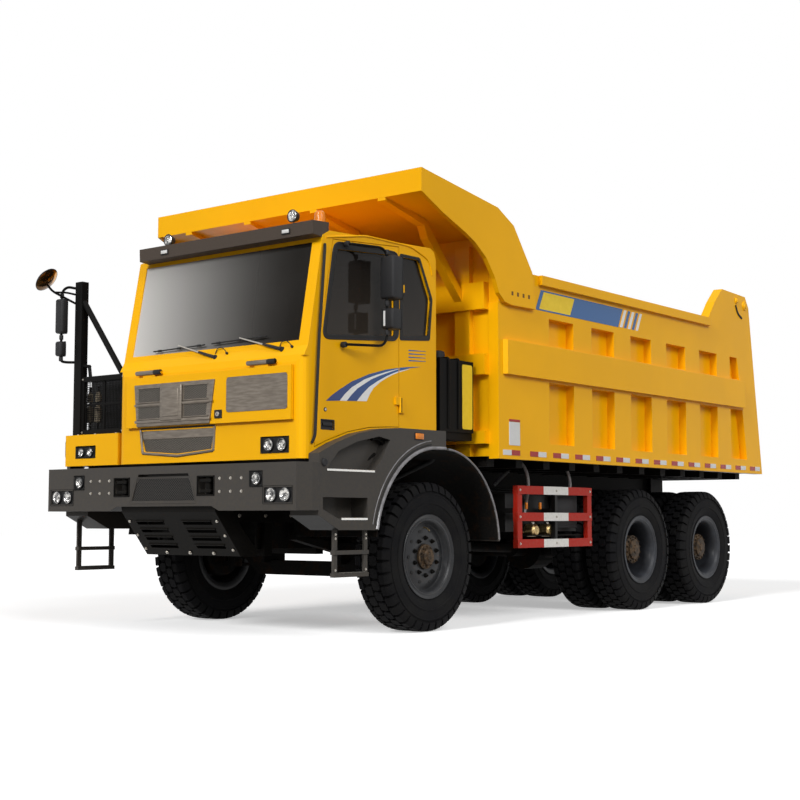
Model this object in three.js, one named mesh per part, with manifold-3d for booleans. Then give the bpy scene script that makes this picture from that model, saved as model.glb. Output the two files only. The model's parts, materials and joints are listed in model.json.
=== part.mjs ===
// A wide-body mining dump truck, 6x4, as separate named pieces.
// Millimetres, +X forward, +Y to the truck's left, +Z up, standing on z = 0.
// Inside this file x is measured ahead of the front axle; the outer group moves the
// truck so that the middle of its length is at x = 0.
import * as THREE from "three";
import { mergeVertices } from "three/addons/utils/BufferGeometryUtils.js";
import Module from "manifold-3d";

const wasm = await Module();
wasm.setup();

// ---------------------------------------------------------------- driving dimensions
const SEAT = 0.3; // gap left between two pieces that touch
const MOVING_GAP = 6; // least gap beside a piece that moves
const BEHIND_MIDDLE = 2450; // front axle ahead of the middle of the truck's length

// wheels
const TYRE_RADIUS = 685;
const TYRE_WIDTH = 375;
const RIM_RADIUS = 317;
const RIM_WALL = 25;
const WHEEL_SIDES = 24;
const FRONT_TRACK = 2640;
const TWIN_OUTER_TRACK = 2665;
const TWIN_SPACING = 450;
const WHEELBASE = 4000;
const BOGIE_SPACING = 1670;
const SPINDLE_RADIUS = 55;

// frame
const RAIL_INNER = 430;
const RAIL_OUTER = 520;
const RAIL_BOTTOM = 1000;
const RAIL_TOP = 1330;
const BUMPER_FACE = 1930;
const BUMPER_DEPTH = 240;
const RAIL_REAR = -WHEELBASE - BOGIE_SPACING - 630;
const BRIDGE_HEIGHT = 130;
const BRIDGE_TOP = 1530;
const ARCH_ROOF = 1700; // underside of the cab and deck over the front wheels

// cab
const CAB_FRONT = 1760;
const CAB_REAR = -90;
const CAB_LEFT = 1500;
const CAB_RIGHT = -800;
const CAB_BOTTOM = BRIDGE_TOP + SEAT;
const CAB_WALL = 50;
const FLOOR_TOP = ARCH_ROOF + 60;
const FIREWALL = 160;
const BELT_Z = 2400;
const GLASS = 12;
const WHEEL_ARCH_RADIUS = 880;
const ARCH_Z = 785;
const ARCH_FRONT_X = 50;
const ARCH_REAR_X = -70;
const FENDER_OUT = 1620;
const FOOT_ROOM_X = [965, 1410]; // room above the upper step, cut from the cab and the deck
const FOOT_ROOM_IN = 1430;
const FOOT_ROOM_TOP = 1600;

// steering
const KINGPIN_Y = 1010;
const KINGPIN_RADIUS = 35;
const STEER_ARM = 330;

// dump body
const BODY_FRONT = -850;
const BODY_REAR = -WHEELBASE - BOGIE_SPACING - 1240;
const BODY_HALF = 1745;
const BODY_BOTTOM = 1610;
const SIDE_PLATE_IN = BODY_HALF - 160;
const SIDE_PLATE = 20;
const POST_OUT = BODY_HALF - 45;
const FLOOR_BODY_TOP = 1660;
const FLOOR_PLATE = 25;
const RAIL_TOP_Z = 3485;
const RAIL_LOW_Z = 3387;
const TIP_X = -WHEELBASE - BOGIE_SPACING - 480;
const TIP_Z = 1240;
const TIP_PIN = 50;
const GATE_X = BODY_REAR + 440;
const GATE_Z = RAIL_TOP_Z + 275;
const GATE_PIN = 40;
const PIN_FIT = 0.6; // radial clearance round a pin
const CANOPY_FRONT = 455;

// hoist
const HOIST_X = -340;
const HOIST_BASE_Z = 1000;
const HOIST_EYE_Z = 2950;
const HOIST_RADII = [115, 97, 79, 61];
const HOIST_SLOT = 180; // half width kept clear of the body's low front beam
const HOIST_NECK = 130; // from the base pin up to the barrel

const AXLES = { middle: -WHEELBASE, rear: -WHEELBASE - BOGIE_SPACING };
const BOGIE_X = -WHEELBASE - BOGIE_SPACING / 2;

// ---------------------------------------------------------------- solids
// A geometry as a solid with its faces outwards.
function solid(geometry) {
  const bare = (geometry.index ? geometry.toNonIndexed() : geometry).clone();
  bare.deleteAttribute("normal");
  bare.deleteAttribute("uv");
  const merged = mergeVertices(bare, 1e-3);
  const vertProperties = merged.attributes.position.array;
  const triVerts = new Uint32Array(merged.index.array);
  const made = new wasm.Manifold(new wasm.Mesh({ numProp: 3, vertProperties, triVerts }));
  if (made.volume() > 0) return made;
  triVerts.reverse();
  return new wasm.Manifold(new wasm.Mesh({ numProp: 3, vertProperties, triVerts }));
}

const join = (...pieces) => pieces.flat(Infinity).reduce((whole, piece) => whole.add(piece));
const cut = (whole, ...tools) => tools.flat(Infinity).reduce((rest, tool) => rest.subtract(tool), whole);

// The same solid on the other side of the truck.
function mirrored(piece) {
  const mesh = piece.getMesh();
  const vertProperties = Float32Array.from(mesh.vertProperties, (v, i) => (i % 3 === 1 ? -v : v));
  const triVerts = Uint32Array.from(mesh.triVerts).reverse();
  return new wasm.Manifold(new wasm.Mesh({ numProp: 3, vertProperties, triVerts }));
}
const onSide = (side, piece) => (side > 0 ? piece : mirrored(piece));
const bothSides = (piece) => [piece, mirrored(piece)];

function box(x0, x1, y0, y1, z0, z1) {
  const shape = new THREE.BoxGeometry(x1 - x0, y1 - y0, z1 - z0);
  return solid(shape.translate((x0 + x1) / 2, (y0 + y1) / 2, (z0 + z1) / 2));
}

// A flat outline [[a, b], ...] pushed from one place to another along an axis.
const AXES = {
  x: [[0, 1, 0], [0, 0, 1], [1, 0, 0]], // outline in y, z
  y: [[1, 0, 0], [0, 0, 1], [0, -1, 0]], // outline in x, z
  z: [[1, 0, 0], [0, 1, 0], [0, 0, 1]], // outline in x, y
};
function plate(axis, outline, from, to) {
  const shape = new THREE.Shape(outline.map(([a, b]) => new THREE.Vector2(a, b)));
  const shell = new THREE.ExtrudeGeometry(shape, { depth: to - from, bevelEnabled: false });
  const [u, v, w] = AXES[axis].map((column) => new THREE.Vector3(...column));
  shell.applyMatrix4(new THREE.Matrix4().makeBasis(u, v, w));
  const start = axis === "y" ? to : from;
  const along = { x: [1, 0, 0], y: [0, 1, 0], z: [0, 0, 1] }[axis];
  return solid(shell.translate(...along.map((k) => k * start)));
}

// A round bar between two points.
function bar(start, end, radius, sides = 12) {
  const a = new THREE.Vector3(...start);
  const b = new THREE.Vector3(...end);
  const way = b.clone().sub(a);
  const shape = new THREE.CylinderGeometry(radius, radius, way.length(), sides);
  const turn = new THREE.Quaternion().setFromUnitVectors(new THREE.Vector3(0, 1, 0),
    way.clone().normalize());
  shape.applyQuaternion(turn);
  return solid(shape.translate(...a.add(b).multiplyScalar(0.5).toArray()));
}

// A bar that bends at each point of a list, with a knob at each bend.
function rail(points, radius, sides = 6) {
  const bars = points.slice(1).map((end, i) => bar(points[i], end, radius, sides));
  const bends = points.slice(1, -1).map((at) => {
    const knob = new THREE.IcosahedronGeometry(radius * 1.25, 0);
    return solid(knob.translate(...at));
  });
  return join(bars, bends);
}

// A profile [[radius, y], ...] turned about the Y axis, its flats tangent to the radius.
function turned(profile, x, y, z, sides = WHEEL_SIDES) {
  const grow = 1 / Math.cos(Math.PI / sides);
  const points = profile.map(([r, along]) => new THREE.Vector2(r * grow, along));
  const shape = new THREE.LatheGeometry([...points, points[0]], sides, Math.PI / sides);
  return solid(shape.translate(x, y, z));
}

// An outline moved outwards (or inwards, below zero) by a distance.
function grown(outline, distance) {
  const area = outline.reduce((sum, [a, b], i) => {
    const [c, d] = outline[(i + 1) % outline.length];
    return sum + a * d - b * c;
  }, 0);
  const way = Math.sign(area);
  const normal = ([a, b], [c, d]) => {
    const length = Math.hypot(c - a, d - b);
    return [(way * (d - b)) / length, (-way * (c - a)) / length];
  };
  return outline.map((point, i) => {
    const before = normal(outline.at(i - 1), point);
    const after = normal(point, outline[(i + 1) % outline.length]);
    const share = distance / (1 + before[0] * after[0] + before[1] * after[1]);
    return [point[0] + share * (before[0] + after[0]), point[1] + share * (before[1] + after[1])];
  });
}

const arc = (x, z, radius, from, to, steps) =>
  Array.from({ length: steps + 1 }, (_, i) => {
    const angle = THREE.MathUtils.degToRad(from + ((to - from) * i) / steps);
    return [x + radius * Math.cos(angle), z + radius * Math.sin(angle)];
  });

// ---------------------------------------------------------------- the assembly
const truck = new THREE.Group();
truck.position.x = BEHIND_MIDDLE;

const FINISHES = {
  paint: ["#f2b40f", 0.35, 0.1],
  grey: ["#5f5a55", 0.6, 0.2],
  black: ["#1b1b1c", 0.6, 0.2],
  rubber: ["#18181a", 0.9, 0.0],
  wheel: ["#4a5058", 0.55, 0.5],
  glass: ["#20262a", 0.1, 0.0],
  iron: ["#2c2a29", 0.7, 0.5],
  steel: ["#b9bcc0", 0.3, 1.0],
  guard: ["#b3201c", 0.45, 0.1],
  fabric: ["#2a2a2d", 0.95, 0.0],
};

function add(name, piece, finish) {
  const { vertProperties, triVerts } = piece.getMesh();
  const shape = new THREE.BufferGeometry();
  shape.setAttribute("position", new THREE.BufferAttribute(new Float32Array(vertProperties), 3));
  shape.setIndex(new THREE.BufferAttribute(new Uint32Array(triVerts), 1));
  const [color, roughness, metalness] = FINISHES[finish];
  const mesh = new THREE.Mesh(shape, new THREE.MeshStandardMaterial({ color, roughness, metalness }));
  mesh.name = name;
  truck.add(mesh);
}

const SIDES = { left: 1, right: -1 };
const FRONT_WHEEL_Y = FRONT_TRACK / 2;
const TWIN_Y = TWIN_OUTER_TRACK / 2;

// ---------------------------------------------------------------- wheels
const BEAD = 150;
const SECTION = [
  [RIM_RADIUS + SEAT, BEAD - 4],
  [RIM_RADIUS + 22, BEAD],
  [RIM_RADIUS + 220, TYRE_WIDTH / 2],
  [TYRE_RADIUS, TYRE_WIDTH / 2 - 40],
];
const tyreSection = (y) => [
  ...SECTION.map(([r, along]) => [r, y + along]),
  ...[...SECTION].reverse().map(([r, along]) => [r, y - along]),
];

function frontWheels() {
  for (const [name, side] of Object.entries(SIDES)) {
    const flange = RIM_RADIUS + 21;
    const drum = RIM_RADIUS - 77;
    const rim = [
      [0, 172], [92, 172], [125, 84], [RIM_RADIUS - RIM_WALL, 70],
      [RIM_RADIUS - RIM_WALL, BEAD + 16], [flange, BEAD + 16], [RIM_RADIUS, BEAD - 2],
      [RIM_RADIUS, 2 - BEAD], [flange, -BEAD - 16], [RIM_RADIUS - RIM_WALL, -BEAD - 16],
      [RIM_RADIUS - RIM_WALL, 40], [drum, 40], [drum, -180],
      [SPINDLE_RADIUS + PIN_FIT, -180], [SPINDLE_RADIUS + PIN_FIT, 20], [0, 20],
    ];
    add(`front_tyre_${name}`, onSide(side, turned(tyreSection(FRONT_WHEEL_Y), 0, 0, TYRE_RADIUS)),
      "rubber");
    add(`front_rim_${name}`, onSide(side, turned(rim, 0, FRONT_WHEEL_Y, TYRE_RADIUS)), "wheel");
  }
}

// Two tyres on one rim band, and the hub with its disc that carries the band.
function twinWheels() {
  const inner = TWIN_Y - TWIN_SPACING;
  const band = RIM_RADIUS - RIM_WALL;
  const tyre = tyreSection(0).slice(1, -1);
  const section = [
    ...tyre.map(([r, along]) => [r, TWIN_Y + along]),
    [RIM_RADIUS, TWIN_Y - BEAD + 8], [RIM_RADIUS, inner + BEAD - 8],
    ...tyre.map(([r, along]) => [r, inner + along]),
    [band, inner - BEAD - 12], [band, TWIN_Y + BEAD + 12],
  ];
  const middle = -TWIN_SPACING / 2;
  const hub = [
    [0, 140], [100, 140], [RIM_RADIUS - 167, 110], [RIM_RADIUS - 132, 40],
      [RIM_RADIUS - 122, middle + 40],
    [band - SEAT, middle + 35], [band - SEAT, middle + 10], [RIM_RADIUS - 72, middle + 8],
      [RIM_RADIUS - 72, -560],
    [SPINDLE_RADIUS + PIN_FIT, -560], [SPINDLE_RADIUS + PIN_FIT, -150], [0, -150],
  ];
  for (const [axle, x] of Object.entries(AXLES)) {
    for (const [name, side] of Object.entries(SIDES)) {
      add(`${axle}_tyres_${name}`, onSide(side, turned(section, x, 0, TYRE_RADIUS)), "rubber");
      add(`${axle}_hub_${name}`, onSide(side, turned(hub, x, TWIN_Y, TYRE_RADIUS)), "wheel");
    }
  }
}

// ---------------------------------------------------------------- axles and steering
const BEAM_EYE_LOW = 600;
const BEAM_EYE_TOP = 770;
const FRONT_PAD_TOP = 700;
const REAR_TUBE = 110;
const REAR_PAD_TOP = 830;
const SPRING_WIDTH = 90;
const SPRING_IN = RAIL_OUTER + 35;
const SPRING_OUT = SPRING_IN + SPRING_WIDTH;
const FRONT_SPRING_IN = RAIL_INNER + 25;
const FRONT_SPRING_OUT = FRONT_SPRING_IN + SPRING_WIDTH;

function frontAxle() {
  const beam = plate("x", [
    [-KINGPIN_Y, 630], [-800, 630], [-620, 480], [620, 480], [800, 630], [KINGPIN_Y, 630],
    [KINGPIN_Y, 740], [760, 740], [580, 620], [-580, 620], [-760, 740], [-KINGPIN_Y, 740],
  ], -65, 65);
  const pads = bothSides(box(-150, 150, FRONT_SPRING_IN, FRONT_SPRING_OUT, 600, FRONT_PAD_TOP));
  const eyes = bothSides(bar([0, KINGPIN_Y, BEAM_EYE_LOW], [0, KINGPIN_Y, BEAM_EYE_TOP], 72, 16));
  const holes = bothSides(bar([0, KINGPIN_Y, 500], [0, KINGPIN_Y, 900], KINGPIN_RADIUS + 1.4, 16));
  add("front_axle", cut(join(beam, pads, eyes), holes), "iron");
}

const EAR = 50;
const EAR_GAP = 0.6;
function knuckles() {
  const ear = EAR;
  const gap = EAR_GAP;
  const web = KINGPIN_Y + 80;
  const arm = BEAM_EYE_LOW - gap - ear;
  for (const [name, side] of Object.entries(SIDES)) {
    const low = [BEAM_EYE_LOW - gap - ear, BEAM_EYE_LOW - gap];
    const high = [BEAM_EYE_TOP + gap, BEAM_EYE_TOP + gap + ear];
    const ears = [low, high].map(([z0, z1]) => join(
      bar([0, KINGPIN_Y, z0], [0, KINGPIN_Y, z1], 68, 16),
      box(-68, 68, KINGPIN_Y, web + 25, z0, z1),
    ));
    const pin = bar([0, KINGPIN_Y, low[0] + 5], [0, KINGPIN_Y, high[1] - 5], KINGPIN_RADIUS, 16);
    const back = box(-68, 68, web, web + 25, low[0], high[1]);
    const spindle = bar([0, web + 10, TYRE_RADIUS], [0, FRONT_WHEEL_Y + 10, TYRE_RADIUS],
      SPINDLE_RADIUS, WHEEL_SIDES);
    const steering = join(
      box(-STEER_ARM, -40, KINGPIN_Y - 25, KINGPIN_Y + 25, arm, arm + 30),
      bar([-STEER_ARM, KINGPIN_Y, arm], [-STEER_ARM, KINGPIN_Y, arm + 30], 36, 12),
      bar([-STEER_ARM, KINGPIN_Y, arm - 50], [-STEER_ARM, KINGPIN_Y, arm + 10], 14, 12),
    );
    add(`knuckle_${name}`, onSide(side, join(ears, pin, back, spindle, steering)), "iron");
  }
  const eyes = bothSides(bar([-STEER_ARM, KINGPIN_Y, arm - 45], [-STEER_ARM, KINGPIN_Y, arm - 4], 32,
    12));
  const holes = bothSides(bar([-STEER_ARM, KINGPIN_Y, arm - 60], [-STEER_ARM, KINGPIN_Y, arm + 60],
    14 + PIN_FIT, 12));
  const rod = bar([-STEER_ARM, -KINGPIN_Y, arm - 24], [-STEER_ARM, KINGPIN_Y, arm - 24], 20, 12);
  add("tie_rod", cut(join(rod, eyes), holes), "iron");
}

function rearAxles() {
  for (const [name, x] of Object.entries(AXLES)) {
    const inner = TWIN_Y - 560 - MOVING_GAP;
    const tube = bar([x, -inner, TYRE_RADIUS], [x, inner, TYRE_RADIUS], REAR_TUBE, 16);
    const spindle = bar([x, -TWIN_Y + 160, TYRE_RADIUS], [x, TWIN_Y - 160, TYRE_RADIUS], SPINDLE_RADIUS,
      WHEEL_SIDES);
    const bulge = bar([x - 170, 0, TYRE_RADIUS], [x + 170, 0, TYRE_RADIUS], 250, 20);
    const nose = bar([x, 0, TYRE_RADIUS], [x + 420, 0, TYRE_RADIUS], 95, 14);
    const pads = bothSides(box(x - 90, x + 90, SPRING_IN, SPRING_OUT, TYRE_RADIUS, REAR_PAD_TOP));
    const shaftEnd = name === "middle"
      ? [ENGINE_REAR - MOVING_GAP, 0, SHAFT_Z]
      : [AXLES.middle - 170 - MOVING_GAP, 0, TYRE_RADIUS];
    const shaft = bar([x + 380, 0, TYRE_RADIUS], shaftEnd, 50, 12);
    add(`${name}_axle`, join(tube, spindle, bulge, nose, pads, shaft), "iron");
  }
}

function springs() {
  for (const [name, side] of Object.entries(SIDES)) {
    const low = FRONT_PAD_TOP + SEAT;
    const end = FRONT_HANGER_BOTTOM - SEAT;
    const front = plate("y", [
      [-150, low], [150, low], [780, end - 40], [780, end], [150, low + 100],
      [-150, low + 100], [-780, end], [-780, end - 40],
    ], FRONT_SPRING_IN, FRONT_SPRING_OUT);
    add(`front_spring_${name}`, onSide(side, front), "iron");
    const foot = REAR_PAD_TOP + SEAT;
    const saddle = SADDLE_TOP + SEAT;
    const rear = plate("y", [
      [AXLES.rear - 80, foot], [AXLES.rear + 80, foot], [BOGIE_X - 150, saddle], [BOGIE_X + 150, saddle],
      [AXLES.middle - 80, foot], [AXLES.middle + 80, foot], [AXLES.middle + 80, foot + 45],
      [BOGIE_X + 150, saddle + 130], [BOGIE_X - 150, saddle + 130], [AXLES.rear - 80, foot + 45],
    ], SPRING_IN, SPRING_OUT);
    add(`rear_spring_${name}`, onSide(side, rear), "iron");
  }
}

// ---------------------------------------------------------------- frame
const ENGINE_FRONT = 1200;
const ENGINE_REAR = -200;
const ENGINE_BOTTOM = 760;
const ENGINE_TOP = 1390;
const SHAFT_Z = 800;
const FRONT_HANGER_BOTTOM = 880;
const SADDLE_TOP = 860;
const FRONT_BRIDGE_X = 1000;
const REAR_BRIDGE_X = -110;
const BRIDGE_LENGTH = 100;
const FENDER_BOX_IN = 1300;
const LINER_IN = FRONT_TRACK / 2 - TYRE_WIDTH / 2;
const TANK_FRONT = -150;
const TANK_BOTTOM = 1780;
const FUEL_TANK_IN = 730;
const FUEL_TANK_REAR = 465 + TYRE_RADIUS - WHEELBASE;
const GUARD_REAR = FUEL_TANK_REAR - 50;

function chassisFrame() {
  const rails = bothSides(box(RAIL_REAR, BUMPER_FACE - BUMPER_DEPTH - SEAT, RAIL_INNER, RAIL_OUTER,
    RAIL_BOTTOM, RAIL_TOP));
  const members = [1550, -1200, -2500, 500 - WHEELBASE, BOGIE_X, RAIL_REAR + 400].map((x) =>
    box(x - 60, x + 60, -RAIL_INNER - 1, RAIL_INNER + 1, 1060, 1270));
  const bridges = [
    [FRONT_BRIDGE_X, FENDER_BOX_IN - SEAT, BRIDGE_TOP],
    [REAR_BRIDGE_X, LINER_IN - SEAT, ARCH_ROOF - SEAT],
  ].map(([x, reach, top]) => join(
    box(x, x + BRIDGE_LENGTH, -reach, reach, top - BRIDGE_HEIGHT, top),
    bothSides(box(x, x + BRIDGE_LENGTH, RAIL_INNER, RAIL_OUTER, RAIL_TOP - 1, top - BRIDGE_HEIGHT + 1)),
  ));
  const tankArm = join(
    box(TANK_FRONT - 160, TANK_FRONT - 60, RAIL_INNER, CAB_LEFT - 100, TANK_BOTTOM - 60,
      TANK_BOTTOM - SEAT),
    box(TANK_FRONT - 160, TANK_FRONT - 60, RAIL_INNER, RAIL_OUTER, RAIL_TOP - 1, TANK_BOTTOM - 59),
  );
  const engineSeats = [300, 1000].map((x) => join(
    box(x, x + 100, -RAIL_INNER - 1, RAIL_INNER + 1, ENGINE_BOTTOM - 60, ENGINE_BOTTOM - SEAT),
    bothSides(box(x, x + 100, RAIL_INNER - 20, RAIL_INNER + 20, ENGINE_BOTTOM - 60, RAIL_BOTTOM + 10)),
  ));
  const hangers = [700, -780].map((x) =>
    bothSides(box(x, x + 80, RAIL_INNER + 25, RAIL_OUTER, FRONT_HANGER_BOTTOM, RAIL_BOTTOM + 10)));
  const trunnion = join(
    bothSides(bar([BOGIE_X, RAIL_INNER + 10, 700], [BOGIE_X, SPRING_OUT, 700], 75, 12)),
    bothSides(box(BOGIE_X - 110, BOGIE_X + 110, RAIL_INNER, RAIL_OUTER, 640, RAIL_BOTTOM + 10)),
    bothSides(box(BOGIE_X - 120, BOGIE_X + 120, SPRING_IN, SPRING_OUT, 700, SADDLE_TOP)),
  );
  const tipPin = bar([TIP_X, -EAR_OUT - 10, TIP_Z], [TIP_X, EAR_OUT + 10, TIP_Z], TIP_PIN, 24);
  const base = HOIST_BASE_Z;
  const hoistSeat = join(
    box(HOIST_X - 80, HOIST_X + 80, -RAIL_INNER - 1, RAIL_INNER + 1, base - 110, base - 85),
    bothSides(box(HOIST_X - 80, HOIST_X + 80, RAIL_INNER - 20, RAIL_INNER + 20, base - 110,
      RAIL_BOTTOM + 20)),
    bothSides(box(HOIST_X - 60, HOIST_X + 60, 80, 105, base - 90, base + 45)),
    bar([HOIST_X, -100, base], [HOIST_X, 100, base], 35, 20),
  );
  const tankArms = [-1650, -2600].map((x) =>
    box(x, x + 80, SEAT - FUEL_TANK_IN, RAIL_OUTER + 200, 1080, 1200));
  add("chassis_frame", join(rails, members, bridges, engineSeats, hangers, trunnion, tipPin, hoistSeat,
    tankArms, tankArm), "black");
}

function engine() {
  add("engine_block", box(ENGINE_REAR, ENGINE_FRONT, -380, 380, ENGINE_BOTTOM, ENGINE_TOP), "iron");
}

// ---------------------------------------------------------------- front bumper, sump guard
const BUMPER_BOTTOM = 1100;
const BUMPER_NOTCH = 1140;
const BUMPER_TOP = 1497;
const BUMPER_HALF = 1585;

function frontBumper() {
  const back = BUMPER_FACE - BUMPER_DEPTH;
  const corner = 1770;
  const outline = [
    [back, -FENDER_OUT], [corner, -FENDER_OUT], [BUMPER_FACE, -BUMPER_HALF],
    [BUMPER_FACE, BUMPER_HALF], [corner, FENDER_OUT], [back, FENDER_OUT],
  ];
  const block = plate("z", outline, BUMPER_BOTTOM, BUMPER_TOP);
  const notch = plate("x", [[-700, BUMPER_BOTTOM - 1], [-610, BUMPER_NOTCH], [610, BUMPER_NOTCH],
    [700, BUMPER_BOTTOM - 1]], back - 1, BUMPER_FACE + 1);
  const grille = plate("x", [[-405, 1190], [405, 1190], [320, 1425], [-320, 1425]], BUMPER_FACE - 60,
    BUMPER_FACE + 1);
  const hooks = bothSides(box(BUMPER_FACE - 90, BUMPER_FACE + 1, 445, 635, 1240, 1390));
  const square = bothSides(box(BUMPER_FACE - 35, BUMPER_FACE + 1, 1060, 1205, 1295, 1430));
  const pair = bothSides(box(BUMPER_FACE - 35, BUMPER_FACE + 1, 1225, 1540, 1165, 1290));
  const tail = box(back - 1, back + 60, -1300, 1300, BUMPER_BOTTOM - 1, 1440);
  const seat = bothSides(box(back, back + 70, RAIL_INNER - 20, RAIL_OUTER + 20, BUMPER_NOTCH, 1400));
  add("front_bumper", join(cut(block, notch, grille, hooks, square, pair, tail), seat), "grey");
}

function sumpGuard() {
  const top = BUMPER_NOTCH - SEAT;
  const outline = [[1880, top], [1870, 1090], [1560, 705], [1350, 700], [1350, 715], [1550, 720],
    [1855, 1100], [1860, top]];
  const slots = [770, 840, 910, 980].map((z) => [-300, 300].map((y) => box(1500, 1900, y - 180, y + 180,
    z, z + 25)));
  const skirt = bothSides(plate("y", [[1880, top], [1870, 1090], [1560, 705], [1350, 700], [1350, 760],
    [1500, 900], [1700, top]], 590, 600));
  const sheet = cut(plate("y", outline, -600, 600), slots.flat());
  const brace = box(1350, 1370, -600, 600, 700, 1000);
  const lift = bothSides(box(1350, 1370, RAIL_INNER, RAIL_OUTER, 990, RAIL_BOTTOM - SEAT));
  add("sump_guard", join(sheet, skirt, brace, lift), "black");
}

// ---------------------------------------------------------------- fenders with their steps
const FENDER_TOP = [[1745, 1560], [1470, 1670], [1190, 1760], [890, 1814], [610, 1834], [-80, 1839]];
const FENDER_LEFT_IN = CAB_LEFT + MOVING_GAP;
const DECK_OUT = 1570;
const FENDER_RIGHT_IN = DECK_OUT + SEAT;
const FENDER_FRONT = BUMPER_FACE - BUMPER_DEPTH - SEAT;
const STEP_DEPTH = 190; // of the step openings, in from the fender's face
const LADDER_REAR = { left: 975, right: 1165 };
const LADDER_TOPS = { left: [950, 950], right: [950, 1045] }; // rear and front upright, inside the fender
const LADDER_LENGTH = 450;
const LADDER_BAR = 50;
const LADDER_Y = 1540;
const LADDER_FOOT = 540;
const LADDER_PITCH = 190;

function fender(name, side, inner) {
  const reach = WHEEL_ARCH_RADIUS + 5;
  const front = arc(ARCH_FRONT_X, ARCH_Z, reach, 9.7, 90, 8);
  const top = FENDER_TOP.filter(([x]) => x < FENDER_FRONT);
  const outline = [
    [FENDER_FRONT, 1060], [FENDER_FRONT, 1575], ...top, [-80, ARCH_Z + reach + 40],
    [-70, ARCH_Z + reach], ...[...front].reverse(), [1435, 937],
  ];
  const panel = plate("y", outline, FENDER_BOX_IN, FENDER_OUT);
  const clearCab = box(-2000, 2000, 0, inner, 1500, 2000);
  const clearWheel = box(-2000, 925, 0, inner, 0, 2000);
  const upper = [[1600, 1440], [960, 1440], [860, 1545], [745, 1720], [900, 1745], [1190, 1690],
    [1440, 1600]];
  const lower = [[1640, 1210], [1640, 1110], [1440, 1030], [1050, 1031], [1060, 1210]];
  const recesses = [upper, lower].map((hole) => plate("y", hole, FENDER_OUT - STEP_DEPTH,
    FENDER_OUT + 1));
  const liner = plate("y", [
    ...arc(ARCH_FRONT_X, ARCH_Z, WHEEL_ARCH_RADIUS + 20, 10, 90, 8), ...arc(ARCH_REAR_X, ARCH_Z,
      WHEEL_ARCH_RADIUS + 20, 90, 178, 9),
    ...arc(ARCH_REAR_X, ARCH_Z, WHEEL_ARCH_RADIUS, 178, 90, 9), ...arc(ARCH_FRONT_X, ARCH_Z,
      WHEEL_ARCH_RADIUS, 90, 10, 8),
  ], LINER_IN, FENDER_OUT - 10);
  const rear = LADDER_REAR[name];
  const uprights = [rear, rear + LADDER_LENGTH - LADDER_BAR].map((x, i) =>
    box(x, x + LADDER_BAR, LADDER_Y - 10, LADDER_Y + 10, LADDER_FOOT, LADDER_TOPS[name][i]));
  const rungs = [LADDER_FOOT, LADDER_FOOT + LADDER_PITCH].map((z) =>
    box(rear, rear + LADDER_LENGTH, LADDER_Y - 25, LADDER_Y + 25, z, z + 35));
  const body = join(cut(panel, clearCab, clearWheel),
    cut(liner, box(300, 2000, 0, inner - 200, 0, 2000)));
  add(`step_fender_${name}`, onSide(side, join(cut(body, recesses), uprights, rungs)), "grey");
}

// ---------------------------------------------------------------- cab
const CAB_SECTION = [
  [CAB_FRONT, CAB_BOTTOM], [CAB_FRONT, BELT_Z - 60], [1745, BELT_Z], [1700, 2480], [1520, 3440],
  [1430, 3490], [0, 3554], [-60, 3525], [CAB_REAR, 3457], [CAB_REAR, ARCH_ROOF],
  [880, ARCH_ROOF], [980, CAB_BOTTOM],
];
const WINDSCREEN_LOW = [1691, 2530];
const WINDSCREEN_HIGH = [1529, 3390];
const SCREEN_LEFT = 1390;
const SCREEN_RIGHT = -700;
const DOOR_REAR = 476;
const DOOR_OUTLINE = [
  [DOOR_REAR, 1855], [610, 1851], [890, 1832], [1190, 1778], [1470, 1690], [1610, 1636],
  [1605, 1900], [1545, 2560], [1385, 3420], [DOOR_REAR, 3490],
];
const DOOR_WINDOW = [[545, 2668], [1475, 2592], [1335, 3345], [545, 3405]];
const QUARTER_WINDOW = [[420, 2680], [420, 3408], [180, 3414], [0, 3070], [40, 2725]];
const REAR_WINDOW = [-350, 1050, 2650, 3300];
const SIDE_WINDOW = [[200, 2650], [1470, 2590], [1330, 3345], [200, 3400]];

// A flat pane that fills a slanted front opening.
function slanted(low, high, inset, depth, y0, y1) {
  const [dx, dz] = [high[0] - low[0], high[1] - low[1]];
  const length = Math.hypot(dx, dz);
  const [ux, uz] = [dx / length, dz / length];
  const corner = (along, out) => [low[0] + ux * along + uz * out, low[1] + uz * along - ux * out];
  const outline = [corner(inset, -depth[0]), corner(inset, depth[1]), corner(length - inset, depth[1]),
    corner(length - inset, -depth[0])];
  return plate("y", outline, y0 + inset, y1 - inset);
}

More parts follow.
